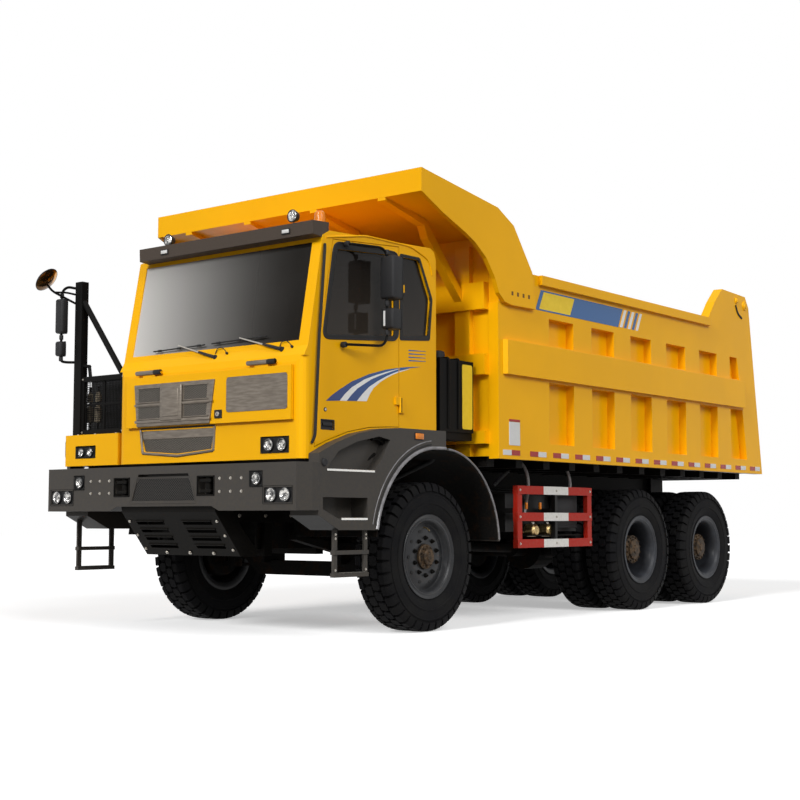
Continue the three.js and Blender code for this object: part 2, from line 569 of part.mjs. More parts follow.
function cabShell() {
  const skin = plate("y", CAB_SECTION, CAB_RIGHT, CAB_LEFT);
  const hollow = plate("y", [
    [CAB_FRONT - FIREWALL, FLOOR_TOP], [CAB_FRONT - FIREWALL, BELT_Z - 40], [1650, 2480], [1475, 3405],
    [1420, 3440], [0, 3504], [CAB_REAR + CAB_WALL, 3450], [CAB_REAR + CAB_WALL, FLOOR_TOP],
  ], CAB_RIGHT + CAB_WALL, CAB_LEFT - CAB_WALL);
  const screen = slanted(WINDSCREEN_LOW, WINDSCREEN_HIGH, 0, [90, 40], SCREEN_RIGHT, SCREEN_LEFT);
  const doorway = plate("y", grown(DOOR_OUTLINE, MOVING_GAP), CAB_LEFT - CAB_WALL - 1, CAB_LEFT + 1);
  const quarter = plate("y", QUARTER_WINDOW, CAB_LEFT - CAB_WALL - 1, CAB_LEFT + 1);
  const [y0, y1, z0, z1] = REAR_WINDOW;
  const rear = box(CAB_REAR - 1, CAB_REAR + CAB_WALL + 1, y0, y1, z0, z1);
  const side = plate("y", SIDE_WINDOW, CAB_RIGHT - 1, CAB_RIGHT + CAB_WALL + 1);
  const bay = box(CAB_FRONT - 75, CAB_FRONT + 1, -560, 1320, 1930, 2240);
  const lowGrille = plate("x", [[-430, 1640], [0, 1610], [430, 1640], [460, 1825], [-490, 1825]],
    CAB_FRONT - 40, CAB_FRONT + 1);
  const lamps = box(CAB_FRONT - 30, CAB_FRONT + 1, 1024, 1348, 1585, 1720);
  const pedestals = [DRIVER_Y, PASSENGER_Y].map((y) => box(330, 780, y - 190, y + 190, FLOOR_TOP - 1,
    SEAT_BOTTOM));
  const flapKnuckles = FLAP_HINGES.map((y) => flapKnuckle(y, 1));
  const doorKnuckles = DOOR_HINGES.map((z) => doorKnuckle(z, -1));
  const corner = roundedCorner(CAB_LEFT, 1);
  const corner2 = roundedCorner(CAB_RIGHT, -1);
  const footRoom = box(...FOOT_ROOM_X, FOOT_ROOM_IN, CAB_LEFT + 1, CAB_BOTTOM - 1, FOOT_ROOM_TOP);
  const shell = cut(skin, hollow, screen, doorway, quarter, rear, side, bay, lowGrille, lamps, corner,
    corner2, footRoom);
  add("cab_shell", join(shell, pedestals, flapKnuckles, doorKnuckles), "paint");
}

// What is taken off an upright front corner of the cab to round it.
function roundedCorner(y, side) {
  const radius = 75;
  const clear = 5;
  const bend = arc(0, 0, radius, 0, 90, 4).map(([a, b]) => [CAB_FRONT - radius + a,
    y - side * (radius - b)]);
  const outer = [[CAB_FRONT - radius, y + side * clear], [CAB_FRONT + clear, y + side * clear],
    [CAB_FRONT + clear, y - side * radius]];
  return plate("z", [...bend, ...outer], BRIDGE_TOP - 10, BELT_Z - 10);
}

function glazing() {
  add("windscreen", slanted(WINDSCREEN_LOW, WINDSCREEN_HIGH, SEAT, [GLASS + 10, -10], SCREEN_RIGHT,
    SCREEN_LEFT), "glass");
  add("quarter_glass_left", plate("y", grown(QUARTER_WINDOW, -SEAT), CAB_LEFT - 30 - GLASS / 2,
    CAB_LEFT - 30 + GLASS / 2), "glass");
  const [y0, y1, z0, z1] = REAR_WINDOW;
  add("rear_glass", box(CAB_REAR + 20, CAB_REAR + 20 + GLASS, y0 + SEAT, y1 - SEAT, z0 + SEAT,
    z1 - SEAT), "glass");
  add("side_glass_right", plate("y", grown(SIDE_WINDOW, -SEAT), CAB_RIGHT + 20, CAB_RIGHT + 20 + GLASS),
    "glass");
}

const VISOR_RIGHT = -675;
function visor() {
  const body = plate("y", [[1490, 3420], [1640, 3432], [1645, 3548], [1436, 3560], [1436, 3460]], VISOR_RIGHT,
    CAB_LEFT - 5);
  add("sun_visor", cut(body, plate("y", grown(CAB_SECTION, SEAT), CAB_RIGHT - 5, CAB_LEFT + 5)), "black");
}

// ---------------------------------------------------------------- door, flap
const DOOR_HINGE_Y = CAB_LEFT + 14;
const DOOR_HINGES = [2050, 3150];
const HINGE_RADIUS = 13;
const HINGE_LENGTH = 70;

// Half of a door hinge: the cab's half is below, the door's half stands on it.
function doorKnuckle(z, side) {
  const [z0, z1] = side < 0 ? [z - HINGE_LENGTH, z] : [z + SEAT, z + HINGE_LENGTH];
  const leaf = side < 0 ? [DOOR_REAR - 6 - 60, DOOR_REAR - 6] : [DOOR_REAR - 6, DOOR_REAR + 60];
  return join(
    bar([DOOR_REAR - 6, DOOR_HINGE_Y, z0], [DOOR_REAR - 6, DOOR_HINGE_Y, z1], HINGE_RADIUS, 12),
    box(leaf[0], leaf[1], side < 0 ? CAB_LEFT - 10 : CAB_LEFT - 4, DOOR_HINGE_Y + 4, z0, z1),
  );
}

function doorLeft() {
  const panel = plate("y", DOOR_OUTLINE, CAB_LEFT - CAB_WALL, CAB_LEFT);
  const window = plate("y", DOOR_WINDOW, CAB_LEFT - CAB_WALL - 1, CAB_LEFT + 1);
  const handle = box(1365, 1530, CAB_LEFT - 22, CAB_LEFT + 1, 1785, 1865);
  const knuckles = DOOR_HINGES.map((z) => doorKnuckle(z, 1));
  add("door_left", join(cut(panel, window, handle), knuckles), "paint");
  add("door_glass_left", plate("y", grown(DOOR_WINDOW, -SEAT), CAB_LEFT - 30 - GLASS / 2,
    CAB_LEFT - 30 + GLASS / 2), "glass");
  const out = 1680;
  const arms = [
    rail([[1234, CAB_LEFT + SEAT, 3400], [1234, CAB_LEFT + 60, 3400], [800, out, 3300]], 14),
    rail([[1272, CAB_LEFT + SEAT, 2520], [1272, CAB_LEFT + 60, 2520], [820, out, 2700],
      [800, out, 3300]], 14),
  ];
  const heads = [box(705, 855, 1585, 1742, 2960, 3340), box(720, 860, 1600, 1740, 2730, 2870)];
  add("mirror_left", join(arms, heads), "black");
}

const FLAP_X = CAB_FRONT + MOVING_GAP;
const FLAP_THICK = 34;
const FLAP_AXIS = [CAB_FRONT + 20, 2352];
const FLAP_HINGES = [-360, 1050];
const FLAP_TOP = 2315;
const FLAP_BOTTOM = 1856;

function flapKnuckle(y, whose) {
  const [x, z] = FLAP_AXIS;
  const half = 80;
  const spans = whose > 0
    ? [[y - half * 2, y - half - SEAT], [y + half + SEAT, y + half * 2]]
    : [[y - half, y + half]];
  return join(spans.map(([a, b]) => join(
    bar([x, a, z], [x, b, z], 14, 12),
    whose > 0 ? box(CAB_FRONT - 8, x, a, b, z - 8, z + 8) : box(FLAP_X, x + 10, a, b, FLAP_TOP - 8, z),
  )));
}

function frontFlap() {
  const sheet = box(FLAP_X, FLAP_X + FLAP_THICK, -645, 1400, FLAP_BOTTOM, FLAP_TOP);
  const grille = plate("x", [[-521, 2245], [-488, 1870], [447, 1870], [505, 2245]], FLAP_X + 14,
    FLAP_X + FLAP_THICK + 1);
  const plaque = box(FLAP_X + FLAP_THICK - 4, FLAP_X + FLAP_THICK + 1, 648, 1362, 1946, 2250);
  add("front_flap", join(cut(sheet, grille, plaque), FLAP_HINGES.map((y) => flapKnuckle(y, -1))),
    "paint");
}

// ---------------------------------------------------------------- inside the cab
const DRIVER_Y = 950;
const PASSENGER_Y = -250;
const SEAT_BOTTOM = 2020;
function cabInside() {
  for (const [name, y] of [["driver", DRIVER_Y], ["passenger", PASSENGER_Y]]) {
    const low = SEAT_BOTTOM + SEAT;
    const outline = [[820, low], [830, low + 110], [800, low + 140], [400, low + 120], [250, low + 760],
      [170, low + 760], [140, low + 720], [290, low + 60], [320, low]];
    add(`${name}_seat`, plate("y", outline, y - 250, y + 250), "fabric");
  }
  const front = CAB_FRONT - FIREWALL - SEAT;
  const top = BELT_Z - 10;
  const desk = plate("y", [[front, 2000], [front, BELT_Z - 60], [1500, top + 10], [1330, top],
    [1280, 2250], [1400, 2000]],
    CAB_RIGHT + CAB_WALL + SEAT, CAB_LEFT - CAB_WALL - MOVING_GAP);
  const column = bar([1400, DRIVER_Y, 2220], [1080, DRIVER_Y, 2430], 32, 10);
  const wheel = new THREE.TorusGeometry(215, 16, 6, 20);
  wheel.rotateY(Math.PI / 2);
  wheel.rotateY(Math.atan2(210, 320));
  const ring = solid(wheel.translate(1080, DRIVER_Y, 2430));
  const spoke = bar([1080, DRIVER_Y - 215, 2430], [1080, DRIVER_Y + 215, 2430], 14, 8);
  add("dashboard", join(desk, column, ring, spoke), "black");
}

// ---------------------------------------------------------------- right deck
const DECK_TOP = 1827;
const DECK_POST_X = 1660;
const DECK_POST_OUT = 1530;
const DECK_POST_TOP = 3320;
const MIRROR_X = 1765;
const MIRROR_Y = -1650;
function rightDeck() {
  const front = CAB_FRONT - 10;
  const low = BRIDGE_TOP + SEAT;
  const deck = plate("y", [[CAB_REAR, ARCH_ROOF], [880, ARCH_ROOF], [980, low], [front, low],
    [front, DECK_TOP],
    [CAB_REAR, DECK_TOP]], -DECK_OUT, CAB_RIGHT - 15);
  const lamps = box(CAB_FRONT - 40, CAB_FRONT, -1420, -1130, 1600, 1720);
  const footRoom = box(...FOOT_ROOM_X, -DECK_OUT - 1, -FOOT_ROOM_IN, low - 1, FOOT_ROOM_TOP);
  add("deck_right", cut(deck, lamps, footRoom), "paint");
  const x = DECK_POST_X;
  const foot = DECK_TOP + SEAT;
  const post = box(x - 40, x + 40, -DECK_POST_OUT, 100 - DECK_POST_OUT, foot, DECK_POST_TOP);
  const bay = box(x - 21, x + 21, -1400, -860, 1880, 2340);
  const frame = cut(box(x - 20, x + 20, 90 - DECK_POST_OUT, -820, foot, 2390), bay);
  const crossBars = [box(x - 6, x + 6, -1410, -850, 2110, 2130), box(x - 6, x + 6, -1130, -1110, 1870,
    2350)];
  const brace = bar([x, -1440, 3120], [x, -850, 2370], 28, 10);
  const hoop = rail([[x, -1440, 2500], [x, -1350, 2490], [x, -1330, 2380]], 17);
  add("deck_rail_right", join(post, frame, crossBars, brace, hoop), "black");
  const reach = -DECK_POST_OUT - SEAT;
  const stem = [MIRROR_X, MIRROR_Y];
  const arms = [
    rail([[x, reach, 3270], [x, reach - 40, 3270], [...stem, 3215], [...stem, 2560],
      [x, reach - 40, 2545], [x, reach, 2545]], 14),
    rail([[x, reach, 3120], [x, reach - 40, 3120], [1880, MIRROR_Y - 10, 3225], [1972, -1658, 3325]], 12),
  ];
  const heads = [
    box(MIRROR_X - 42, MIRROR_X + 42, MIRROR_Y - 55, MIRROR_Y + 55, 2822, 3160),
    box(MIRROR_X - 35, MIRROR_X + 45, MIRROR_Y - 45, MIRROR_Y + 45, 2600, 2745),
    bar([1975, -1656, 3343], [1965, -1626, 3317], 130, 16),
  ];
  add("mirror_right", join(arms, heads), "black");
  add("air_cleaner", bar([900, -1180, foot], [900, -1180, 2480], 210, 16), "black");
}

// ---------------------------------------------------------------- tanks and side guard
const GUARD_IN = 1445;
const GUARD_OUT = 1505;
const GUARD_BAR = 85;
function tanks() {
  const left = join(
    box(TANK_FRONT - 540, TANK_FRONT, CAB_LEFT - 270, CAB_LEFT, TANK_BOTTOM + 70, 2540),
    bar([-300, CAB_LEFT - 135, 2530], [-300, CAB_LEFT - 135, 2620], 55, 14),
    box(TANK_FRONT - 540, TANK_FRONT, CAB_LEFT - 240, CAB_LEFT - 20, TANK_BOTTOM, TANK_BOTTOM + 80),
  );
  add("oil_tank_left", left, "black");
  const tank = plate("x", [[-1480, 780], [-1480, 1250], [-1430, 1300], [-780, 1300],
    [-FUEL_TANK_IN, 1250], [-FUEL_TANK_IN, 780], [-780, 730], [-1430, 730]], FUEL_TANK_REAR, -1500);
  const filler = bar([-1750, -1250, 1290], [-1750, -1250, 1370], 60, 14);
  add("fuel_tank_right", join(tank, filler), "black");
  const bars = [740, 1010, 1280].map((z) => box(GUARD_REAR, -1450, GUARD_IN, GUARD_OUT, z, z + GUARD_BAR));
  const posts = [[GUARD_REAR, GUARD_BAR], [-2200, 40], [-1450 - GUARD_BAR, GUARD_BAR]].map(([x, wide]) =>
    box(x, x + wide, GUARD_IN + 5, GUARD_OUT - 5, 745, 1360));
  const arms = [-2200, -1500].map((x) => box(x, x + 50, 1320, GUARD_IN + 6, 1090, 1140));
  const battery = box(FUEL_TANK_REAR, -1480, 730 + 400, 1330, 900, 1290);
  const reach = box(-2600, -1600, RAIL_OUTER + 200 + SEAT, 1140, 1090, 1190);
  add("side_guard_left", join(bars, posts, arms, battery, reach), "guard");
}

// ---------------------------------------------------------------- dump body
const EAR_IN = RAIL_OUTER + 25;
const EAR_OUT = EAR_IN + 50;
const POSTS = 6;
const FIRST_POCKET = -1750;
const POCKET_PITCH = (FIRST_POCKET - BODY_REAR - 910) / (POSTS - 1);
const POST_WIDTH = 370;
const POCKET_WIDTH = POCKET_PITCH - POST_WIDTH;
const TOWER_FRONT = BODY_REAR + 1500;
const TOWER = [[TOWER_FRONT, RAIL_TOP_Z], [TOWER_FRONT - 200, RAIL_TOP_Z + 229],
  [TOWER_FRONT - 410, RAIL_TOP_Z + 415],
  [BODY_REAR + 420, RAIL_TOP_Z + 395], [BODY_REAR + 320, RAIL_TOP_Z + 259]];

function bodySide(name, side) {
  const outline = [[BODY_FRONT + 20, BODY_BOTTOM], [BODY_FRONT + 20, 3130],
    [BODY_FRONT - 520, RAIL_TOP_Z], ...TOWER, [BODY_REAR, BODY_BOTTOM]];
  const sheet = plate("y", outline, SIDE_PLATE_IN, SIDE_PLATE_IN + SIDE_PLATE);
  const pockets = [];
  for (let i = 0; i < POSTS; i++) {
    const start = FIRST_POCKET - i * POCKET_PITCH;
    const last = i === POSTS - 1;
    const low = last ? BODY_REAR + 450 : start - POCKET_WIDTH;
    const high = last ? BODY_REAR + 700 : start - POCKET_WIDTH;
    pockets.push([[start, 1785], [low, 1785], [last ? BODY_REAR + 560 : low, 2410], [start, 2410]]);
    pockets.push([[start, 2790], [high - (last ? 60 : 0), 2790], [high, 3065], [start, 3065]]);
  }
  const frame = cut(
    plate("y", outline, SIDE_PLATE_IN + SIDE_PLATE - 1, POST_OUT),
    pockets.map((pocket) => plate("y", pocket, SIDE_PLATE_IN, POST_OUT + 1)),
  );
  const belt = plate("z", [[-910, POST_OUT - 1], [-930, BODY_HALF], [BODY_REAR + 560, BODY_HALF],
    [BODY_REAR + 560, POST_OUT - 1]], 2435, 2772);
  const topRail = box(TOWER_FRONT, -1560, POST_OUT - 1, BODY_HALF, RAIL_LOW_Z, RAIL_TOP_Z);
  const pin = bar([GATE_X, SIDE_PLATE_IN - 95, GATE_Z], [GATE_X, SIDE_PLATE_IN + 10, GATE_Z], GATE_PIN,
    20);
  add(`body_side_${name}`, onSide(side, join(sheet, frame, belt, topRail, pin)), "paint");
}

function bodyFloor() {
  const half = SIDE_PLATE_IN - SEAT;
  const under = FLOOR_BODY_TOP - FLOOR_PLATE;
  const rear = BODY_REAR + 40;
  const sheet = box(rear, BODY_FRONT - 1, -half, half, under, FLOOR_BODY_TOP);
  const ribs = Array.from({ length: 12 }, (_, i) => {
    const x = BODY_FRONT - 120 - (i * (BODY_FRONT - BODY_REAR - 450)) / 11;
    return box(x - 60, x + 60, -half + 80, half - 80, under - 95, under + 1);
  });
  const sills = bothSides(box(TIP_X + 60, BODY_FRONT - 60, RAIL_INNER, RAIL_OUTER,
    RAIL_TOP + MOVING_GAP, under + 1));
  const ears = bothSides(join(
    box(TIP_X - 120, TIP_X + 200, EAR_IN, EAR_OUT, TIP_Z, under + 1),
    bar([TIP_X, EAR_IN, TIP_Z], [TIP_X, EAR_OUT, TIP_Z], 120, 20),
  ));
  const holes = bothSides(bar([TIP_X, EAR_IN - 5, TIP_Z], [TIP_X, EAR_OUT + 5, TIP_Z],
    TIP_PIN + PIN_FIT, 24));
  add("body_floor", cut(join(sheet, ribs, sills, ears), holes), "paint");
}

const CANOPY_TOP = [[CANOPY_FRONT, 4201], [-770, 4044], [-1048, 3909], [-1378, RAIL_TOP_Z]];
const CANOPY_LOW = [[-1440, 3122], [-1000, 3116], [-880, 3136], [-780, 3210], [-720, 3340], [-570, 3520],
  [-380, 3645], [-230, 3710], [130, 3840], [CANOPY_FRONT, 3983]];

function bodyFront() {
  const half = SIDE_PLATE_IN - SEAT;
  const wallTop = 3780;
  const low = FLOOR_BODY_TOP - FLOOR_PLATE;
  const wall = box(BODY_FRONT, BODY_FRONT + 15, -half, half, low, wallTop + 20);
  const beams = [[3066, 3333], [2427, 2630]].map(([z0, z1]) => box(BODY_FRONT + 14, BODY_FRONT + 100,
    -half, half, z0, z1));
  const lowBeams = bothSides(box(BODY_FRONT + 14, BODY_FRONT + 100, HOIST_SLOT, half, 1754, 1880));
  const posts = [272 - SIDE_PLATE_IN, -600, 600, SIDE_PLATE_IN - 272].map((y) => box(BODY_FRONT + 14,
    BODY_FRONT + 80, y - 89, y + 89, low, 3700));
  const roof = plate("y", [[BODY_FRONT, wallTop], [CANOPY_FRONT, 3983], [CANOPY_FRONT, 4003],
    [BODY_FRONT, wallTop + 20]], -BODY_HALF + 30, BODY_HALF - 30);
  const lip = box(CANOPY_FRONT - 20, CANOPY_FRONT, -BODY_HALF, BODY_HALF, 3983, 4201);
  const cheeks = bothSides(plate("y", [...CANOPY_TOP, ...CANOPY_LOW], POST_OUT + SEAT, BODY_HALF));
  const struts = [305 - SIDE_PLATE_IN, -440, 440, SIDE_PLATE_IN - 305].map((y) => join(
    plate("y", [[CANOPY_FRONT - 1, 3955], [-146, 3820], [-200, 3700], [BODY_FRONT + 60, 3120],
      [BODY_FRONT + 60, 3230],
      [-170, 3880], [CANOPY_FRONT - 1, 3990]], y - 45, y + 45),
  ));
  const ears = bothSides(box(BODY_FRONT + 14, HOIST_X + 60, 80, 110, HOIST_EYE_Z - 90, HOIST_EYE_Z + 90));
  add("body_front", join(wall, beams, lowBeams, posts, roof, lip, cheeks, struts, ears), "paint");
}

function tailgate() {
  const half = SIDE_PLATE_IN - MOVING_GAP - 1;
  const at = (z) => BODY_REAR + ((z - BODY_BOTTOM) * 320) / (RAIL_TOP_Z + 259 - BODY_BOTTOM);
  const sheet = plate("y", [[at(1620), 1620], [at(3450), 3450], [at(3450) + 25, 3450],
    [at(1620) + 25, 1620]], -half, half);
  const ribs = [-2, -1, 0, 1, 2].map((i) => (i * (half - 128)) / 2).map((y) =>
    plate("y", [[at(1640), 1640], [at(3440), 3440], [at(3440) - 60, 3420],
      [at(1640) - 40, 1660]], y - 50, y + 50));
  const bars = [1650, 2400, 3330].map((z) => plate("y", [[at(z) + 2, z], [at(z + 110) + 2, z + 110],
    [at(z + 110) - 45, z + 110], [at(z) - 45, z]], -half, half));
  const arms = bothSides(join(
    plate("y", [[at(3300) - 40, 3300], [at(3300) + 25, 3300], [at(RAIL_TOP_Z) + 5, RAIL_TOP_Z],
      [GATE_X + 60, GATE_Z], [GATE_X - 60, GATE_Z]], SIDE_PLATE_IN - 85, SIDE_PLATE_IN - 25),
    bar([GATE_X, SIDE_PLATE_IN - 85, GATE_Z], [GATE_X, SIDE_PLATE_IN - 25, GATE_Z], 70, 20),
  ));
  const holes = bothSides(bar([GATE_X, SIDE_PLATE_IN - 105, GATE_Z],
    [GATE_X, SIDE_PLATE_IN - 10, GATE_Z], GATE_PIN + PIN_FIT, 20));
  add("tailgate", cut(join(sheet, ribs, bars, arms), holes), "paint");
}

// ---------------------------------------------------------------- hoist
function hoist() {
  const top = HOIST_EYE_Z - 270;
  HOIST_RADII.forEach((radius, i) => {
    const name = i === 0 ? "hoist_barrel" : `hoist_stage_${i}`;
    const low = HOIST_BASE_Z + HOIST_NECK + i * 20;
    const high = top + i * 40;
    const last = i === HOIST_RADII.length - 1;
    const tube = bar([HOIST_X, 0, low], [HOIST_X, 0, last ? HOIST_EYE_Z - 30 : high], radius, 24);
    if (last) {
      const eye = bar([HOIST_X, -72, HOIST_EYE_Z], [HOIST_X, 72, HOIST_EYE_Z], 60, 16);
      add(name, join(tube, eye), "steel");
      return;
    }
    const bore = bar([HOIST_X, 0, low + 15], [HOIST_X, 0, high + 10], HOIST_RADII[i + 1] + PIN_FIT, 24);
    if (i > 0) {
      add(name, cut(tube, bore), "steel");
      return;
    }
    const eye = bar([HOIST_X, -70, HOIST_BASE_Z], [HOIST_X, 70, HOIST_BASE_Z], 72, 20);
    const neck = bar([HOIST_X, 0, HOIST_BASE_Z], [HOIST_X, 0, low + 1], 60, 16);
    const hole = bar([HOIST_X, -80, HOIST_BASE_Z], [HOIST_X, 80, HOIST_BASE_Z], 35 + PIN_FIT, 20);
    add(name, cut(join(tube, eye, neck), bore, hole), "black");
  });
}

frontWheels();
twinWheels();
frontAxle();
knuckles();
rearAxles();
springs();
chassisFrame();
engine();
frontBumper();
sumpGuard();
fender("left", 1, FENDER_LEFT_IN);
fender("right", -1, FENDER_RIGHT_IN);
cabShell();
glazing();
visor();
doorLeft();
frontFlap();
cabInside();
rightDeck();
tanks();
bodySide("left", 1);
bodySide("right", -1);
bodyFloor();
bodyFront();
tailgate();
hoist();

export default truck;
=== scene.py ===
"""Looks of a wide-body mining dump truck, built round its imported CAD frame."""

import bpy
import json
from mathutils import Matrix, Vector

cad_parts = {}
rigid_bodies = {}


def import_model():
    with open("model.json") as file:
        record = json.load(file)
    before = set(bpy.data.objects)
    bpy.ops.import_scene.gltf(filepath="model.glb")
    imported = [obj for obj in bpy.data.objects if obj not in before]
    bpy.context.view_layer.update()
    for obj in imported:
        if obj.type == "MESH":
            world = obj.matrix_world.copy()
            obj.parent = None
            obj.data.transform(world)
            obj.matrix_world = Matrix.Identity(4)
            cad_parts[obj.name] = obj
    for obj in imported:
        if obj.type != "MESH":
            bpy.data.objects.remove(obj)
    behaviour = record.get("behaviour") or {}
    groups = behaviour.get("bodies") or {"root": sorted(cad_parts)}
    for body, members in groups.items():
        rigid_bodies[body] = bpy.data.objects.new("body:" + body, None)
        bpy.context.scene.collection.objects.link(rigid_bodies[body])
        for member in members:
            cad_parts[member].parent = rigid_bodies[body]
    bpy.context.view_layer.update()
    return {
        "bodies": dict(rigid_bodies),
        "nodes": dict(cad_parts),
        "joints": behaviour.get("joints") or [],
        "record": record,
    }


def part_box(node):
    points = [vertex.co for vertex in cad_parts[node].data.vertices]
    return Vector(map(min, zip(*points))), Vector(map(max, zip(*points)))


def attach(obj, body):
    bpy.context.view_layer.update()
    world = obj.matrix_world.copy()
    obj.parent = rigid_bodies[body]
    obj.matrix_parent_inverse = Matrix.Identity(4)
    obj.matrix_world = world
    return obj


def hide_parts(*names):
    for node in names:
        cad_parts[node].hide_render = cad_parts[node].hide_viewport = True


bl_info = {
    "name": "Mining Dump Truck Looks",
    "version": (1, 0, 0),
    "blender": (4, 5, 0),
    "location": "View3D > Sidebar > Dump Truck",
    "description": "Adds tyres, lamps, grilles, fittings, seats and finishes to a dump truck's frame",
    "category": "Object",
}

import json
import math
from functools import partial

import bmesh
import bpy
from bpy.props import FloatProperty, FloatVectorProperty, IntProperty, PointerProperty
from bpy.types import Operator, Panel, PropertyGroup
from mathutils import Matrix, Vector

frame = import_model()


# ---------------------------------------------------------------- places taken from the frame
def middle(node, axis):
    """The middle of a CAD node's box along one axis."""
    low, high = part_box(node)
    return (low[axis] + high[axis]) / 2


AXLE = middle("front_rim_left", 0)  # the truck's own lengths are measured ahead of this
FRONT_WHEEL_Y = 1.32
WHEEL_Z = middle("front_tyre_left", 2)
REAR_AXLES = {name: middle(f"{name}_hub_left", 0) - AXLE for name in ("middle", "rear")}
TWIN_OUTER_Y = 1.3325
TWIN_GAP = 0.45  # from one twin wheel to the other
BUMPER_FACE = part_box("front_bumper")[1][0] - AXLE
CAB_FACE = 1.760
FLAP_FACE = 1.800
CAB_SIDE = 1.500
FENDER_SIDE = 1.620
POST_FACE = 1.700  # the outer face of the tipping body's posts
FRAME_SIDE = 0.520
RAIL_BOLT_PITCH = 0.335
REFLECTOR_PITCH = 0.430
ROOF_Z = 3.56
GUARD_BARS = (0.740, 1.010, 1.280)
GUARD_BAR_HEIGHT, GUARD_BAR_DEPTH = 0.085, 0.060
SUMP_FOOT, SUMP_TOP = Vector((1.560, 0, 0.705)), Vector((1.870, 0, 1.090))
LADDERS = {"left": (0.975, 1.425), "right": (1.165, 1.615)}
SIDES = {"left": 1, "right": -1}
SHARP = math.radians(32)  # edges that turn by more than this stay sharp
ARC_STEPS = 4
X, Y, Z = Vector((1, 0, 0)), Vector((0, 1, 0)), Vector((0, 0, 1))


# ---------------------------------------------------------------- modelling
def bevel(shape, by, segments=1):
    """Rounds a shape's sharp edges."""
    edges = [e for e in shape.edges if e.calc_face_angle(0) > SHARP]
    bmesh.ops.bevel(
        shape, geom=edges, offset=by, segments=segments, profile=0.5, affect="EDGES", material=-1
    )
    return shape


def block(x, y, z, round_by=0.004, segments=1):
    """A box between two places on each axis."""
    shape = bmesh.new()
    low, high = Vector((x[0], y[0], z[0])), Vector((x[1], y[1], z[1]))
    bmesh.ops.create_cube(shape, size=1)
    bmesh.ops.scale(shape, vec=high - low, verts=shape.verts)
    bmesh.ops.translate(shape, vec=(low + high) / 2, verts=shape.verts)
    return bevel(shape, round_by, segments) if round_by else shape


def rod(start, end, radius, sides=16, end_radius=None, round_by=0):
    """A straight round bar or cone."""
    start, end = Vector(start), Vector(end)
    along = end - start
    shape = bmesh.new()
    far = radius if end_radius is None else end_radius
    bmesh.ops.create_cone(
        shape, cap_ends=True, segments=sides, radius1=radius, radius2=far, depth=along.length
    )
    turn = along.to_track_quat("Z", "Y").to_matrix()
    bmesh.ops.rotate(shape, matrix=turn, verts=shape.verts)
    bmesh.ops.translate(shape, vec=(start + end) / 2, verts=shape.verts)
    return bevel(shape, round_by, 2) if round_by else shape


FLAT = {"x": (Y, Z, X), "y": (X, Z, Y), "z": (X, Y, Z)}


def outlined(shape, axis, outline, place):
    """Draws a closed outline at a place on an axis and gives its edges."""
    across, up, along = FLAT[axis]
    corners = [shape.verts.new(across * a + up * b + along * place) for a, b in outline]
    return [shape.edges.new(pair) for pair in zip(corners, corners[1:] + corners[:1])]


def pushed(shape, axis, by):
    """A flat shape made solid by pushing its faces along an axis."""
    made = bmesh.ops.extrude_face_region(shape, geom=shape.faces[:])["geom"]
    verts = [v for v in made if isinstance(v, bmesh.types.BMVert)]
    bmesh.ops.translate(shape, vec=FLAT[axis][2] * by, verts=verts)
    return shape


def plate(axis, outline, low, high, round_by=0.0, segments=1):
    """A flat outline pushed along an axis."""
    shape = bmesh.new()
    bmesh.ops.contextual_create(shape, geom=outlined(shape, axis, outline, low))
    pushed(shape, axis, high - low)
    return bevel(shape, round_by, segments) if round_by else shape


def frame_plate(axis, outer, inner, low, high):
    """A flat frame between two outlines with as many corners each, pushed along an axis."""
    shape = bmesh.new()
    lines = outlined(shape, axis, outer, low) + outlined(shape, axis, inner, low)
    bmesh.ops.bridge_loops(shape, edges=lines)
    return pushed(shape, axis, high - low)


def round_plate(shape, axis, by, segments):
    """Rounds the corners of a thin block, which are its edges along one axis."""
    corners = [e for e in shape.edges if abs((e.verts[0].co - e.verts[1].co)[axis]) > 0.003]
    bmesh.ops.bevel(
        shape, geom=corners, offset=by, segments=segments, profile=0.5, affect="EDGES", material=-1
    )
    return shape


def sink_front(shape, border, depth):
    """Sinks the face that looks ahead and leaves a border round it."""
    front = max(shape.faces, key=lambda f: f.calc_center_median().x)
    bmesh.ops.inset_region(shape, faces=[front], thickness=border)
    bmesh.ops.translate(shape, vec=(-depth, 0, 0), verts=list(front.verts))
    return shape


def round_corners(outline, bend, steps=ARC_STEPS):
    """A closed outline with a short curve at each corner."""
    made = []
    for before, corner, after in zip(outline[-1:] + outline[:-1], outline, outline[1:] + outline[:1]):
        corner = Vector(corner)
        first = corner + (Vector(before) - corner).normalized() * bend
        last = corner + (Vector(after) - corner).normalized() * bend
        for i in range(steps + 1):
            t = i / steps
            made.append(tuple(first.lerp(corner, t).lerp(corner.lerp(last, t), t)))
    return made


def lathe(profile, centre, axis=Y, steps=48, closed=False):
    """A profile of (radius, place along the axis) turned round an axis."""
    centre = Vector(centre)
    out = Z if axis != Z else X
    shape = bmesh.new()
    points = [shape.verts.new(centre + out * r + axis * along) for r, along in profile]
    pairs = list(zip(points, points[1:] + points[:1] if closed else points[1:]))
    lines = [shape.edges.new(pair) for pair in pairs]
    bmesh.ops.spin(
        shape, geom=points + lines, cent=centre, axis=axis, angle=math.tau, steps=steps,
        use_merge=True, use_duplicate=False,
    )
    bmesh.ops.remove_doubles(shape, verts=shape.verts, dist=1e-5)
    return shape


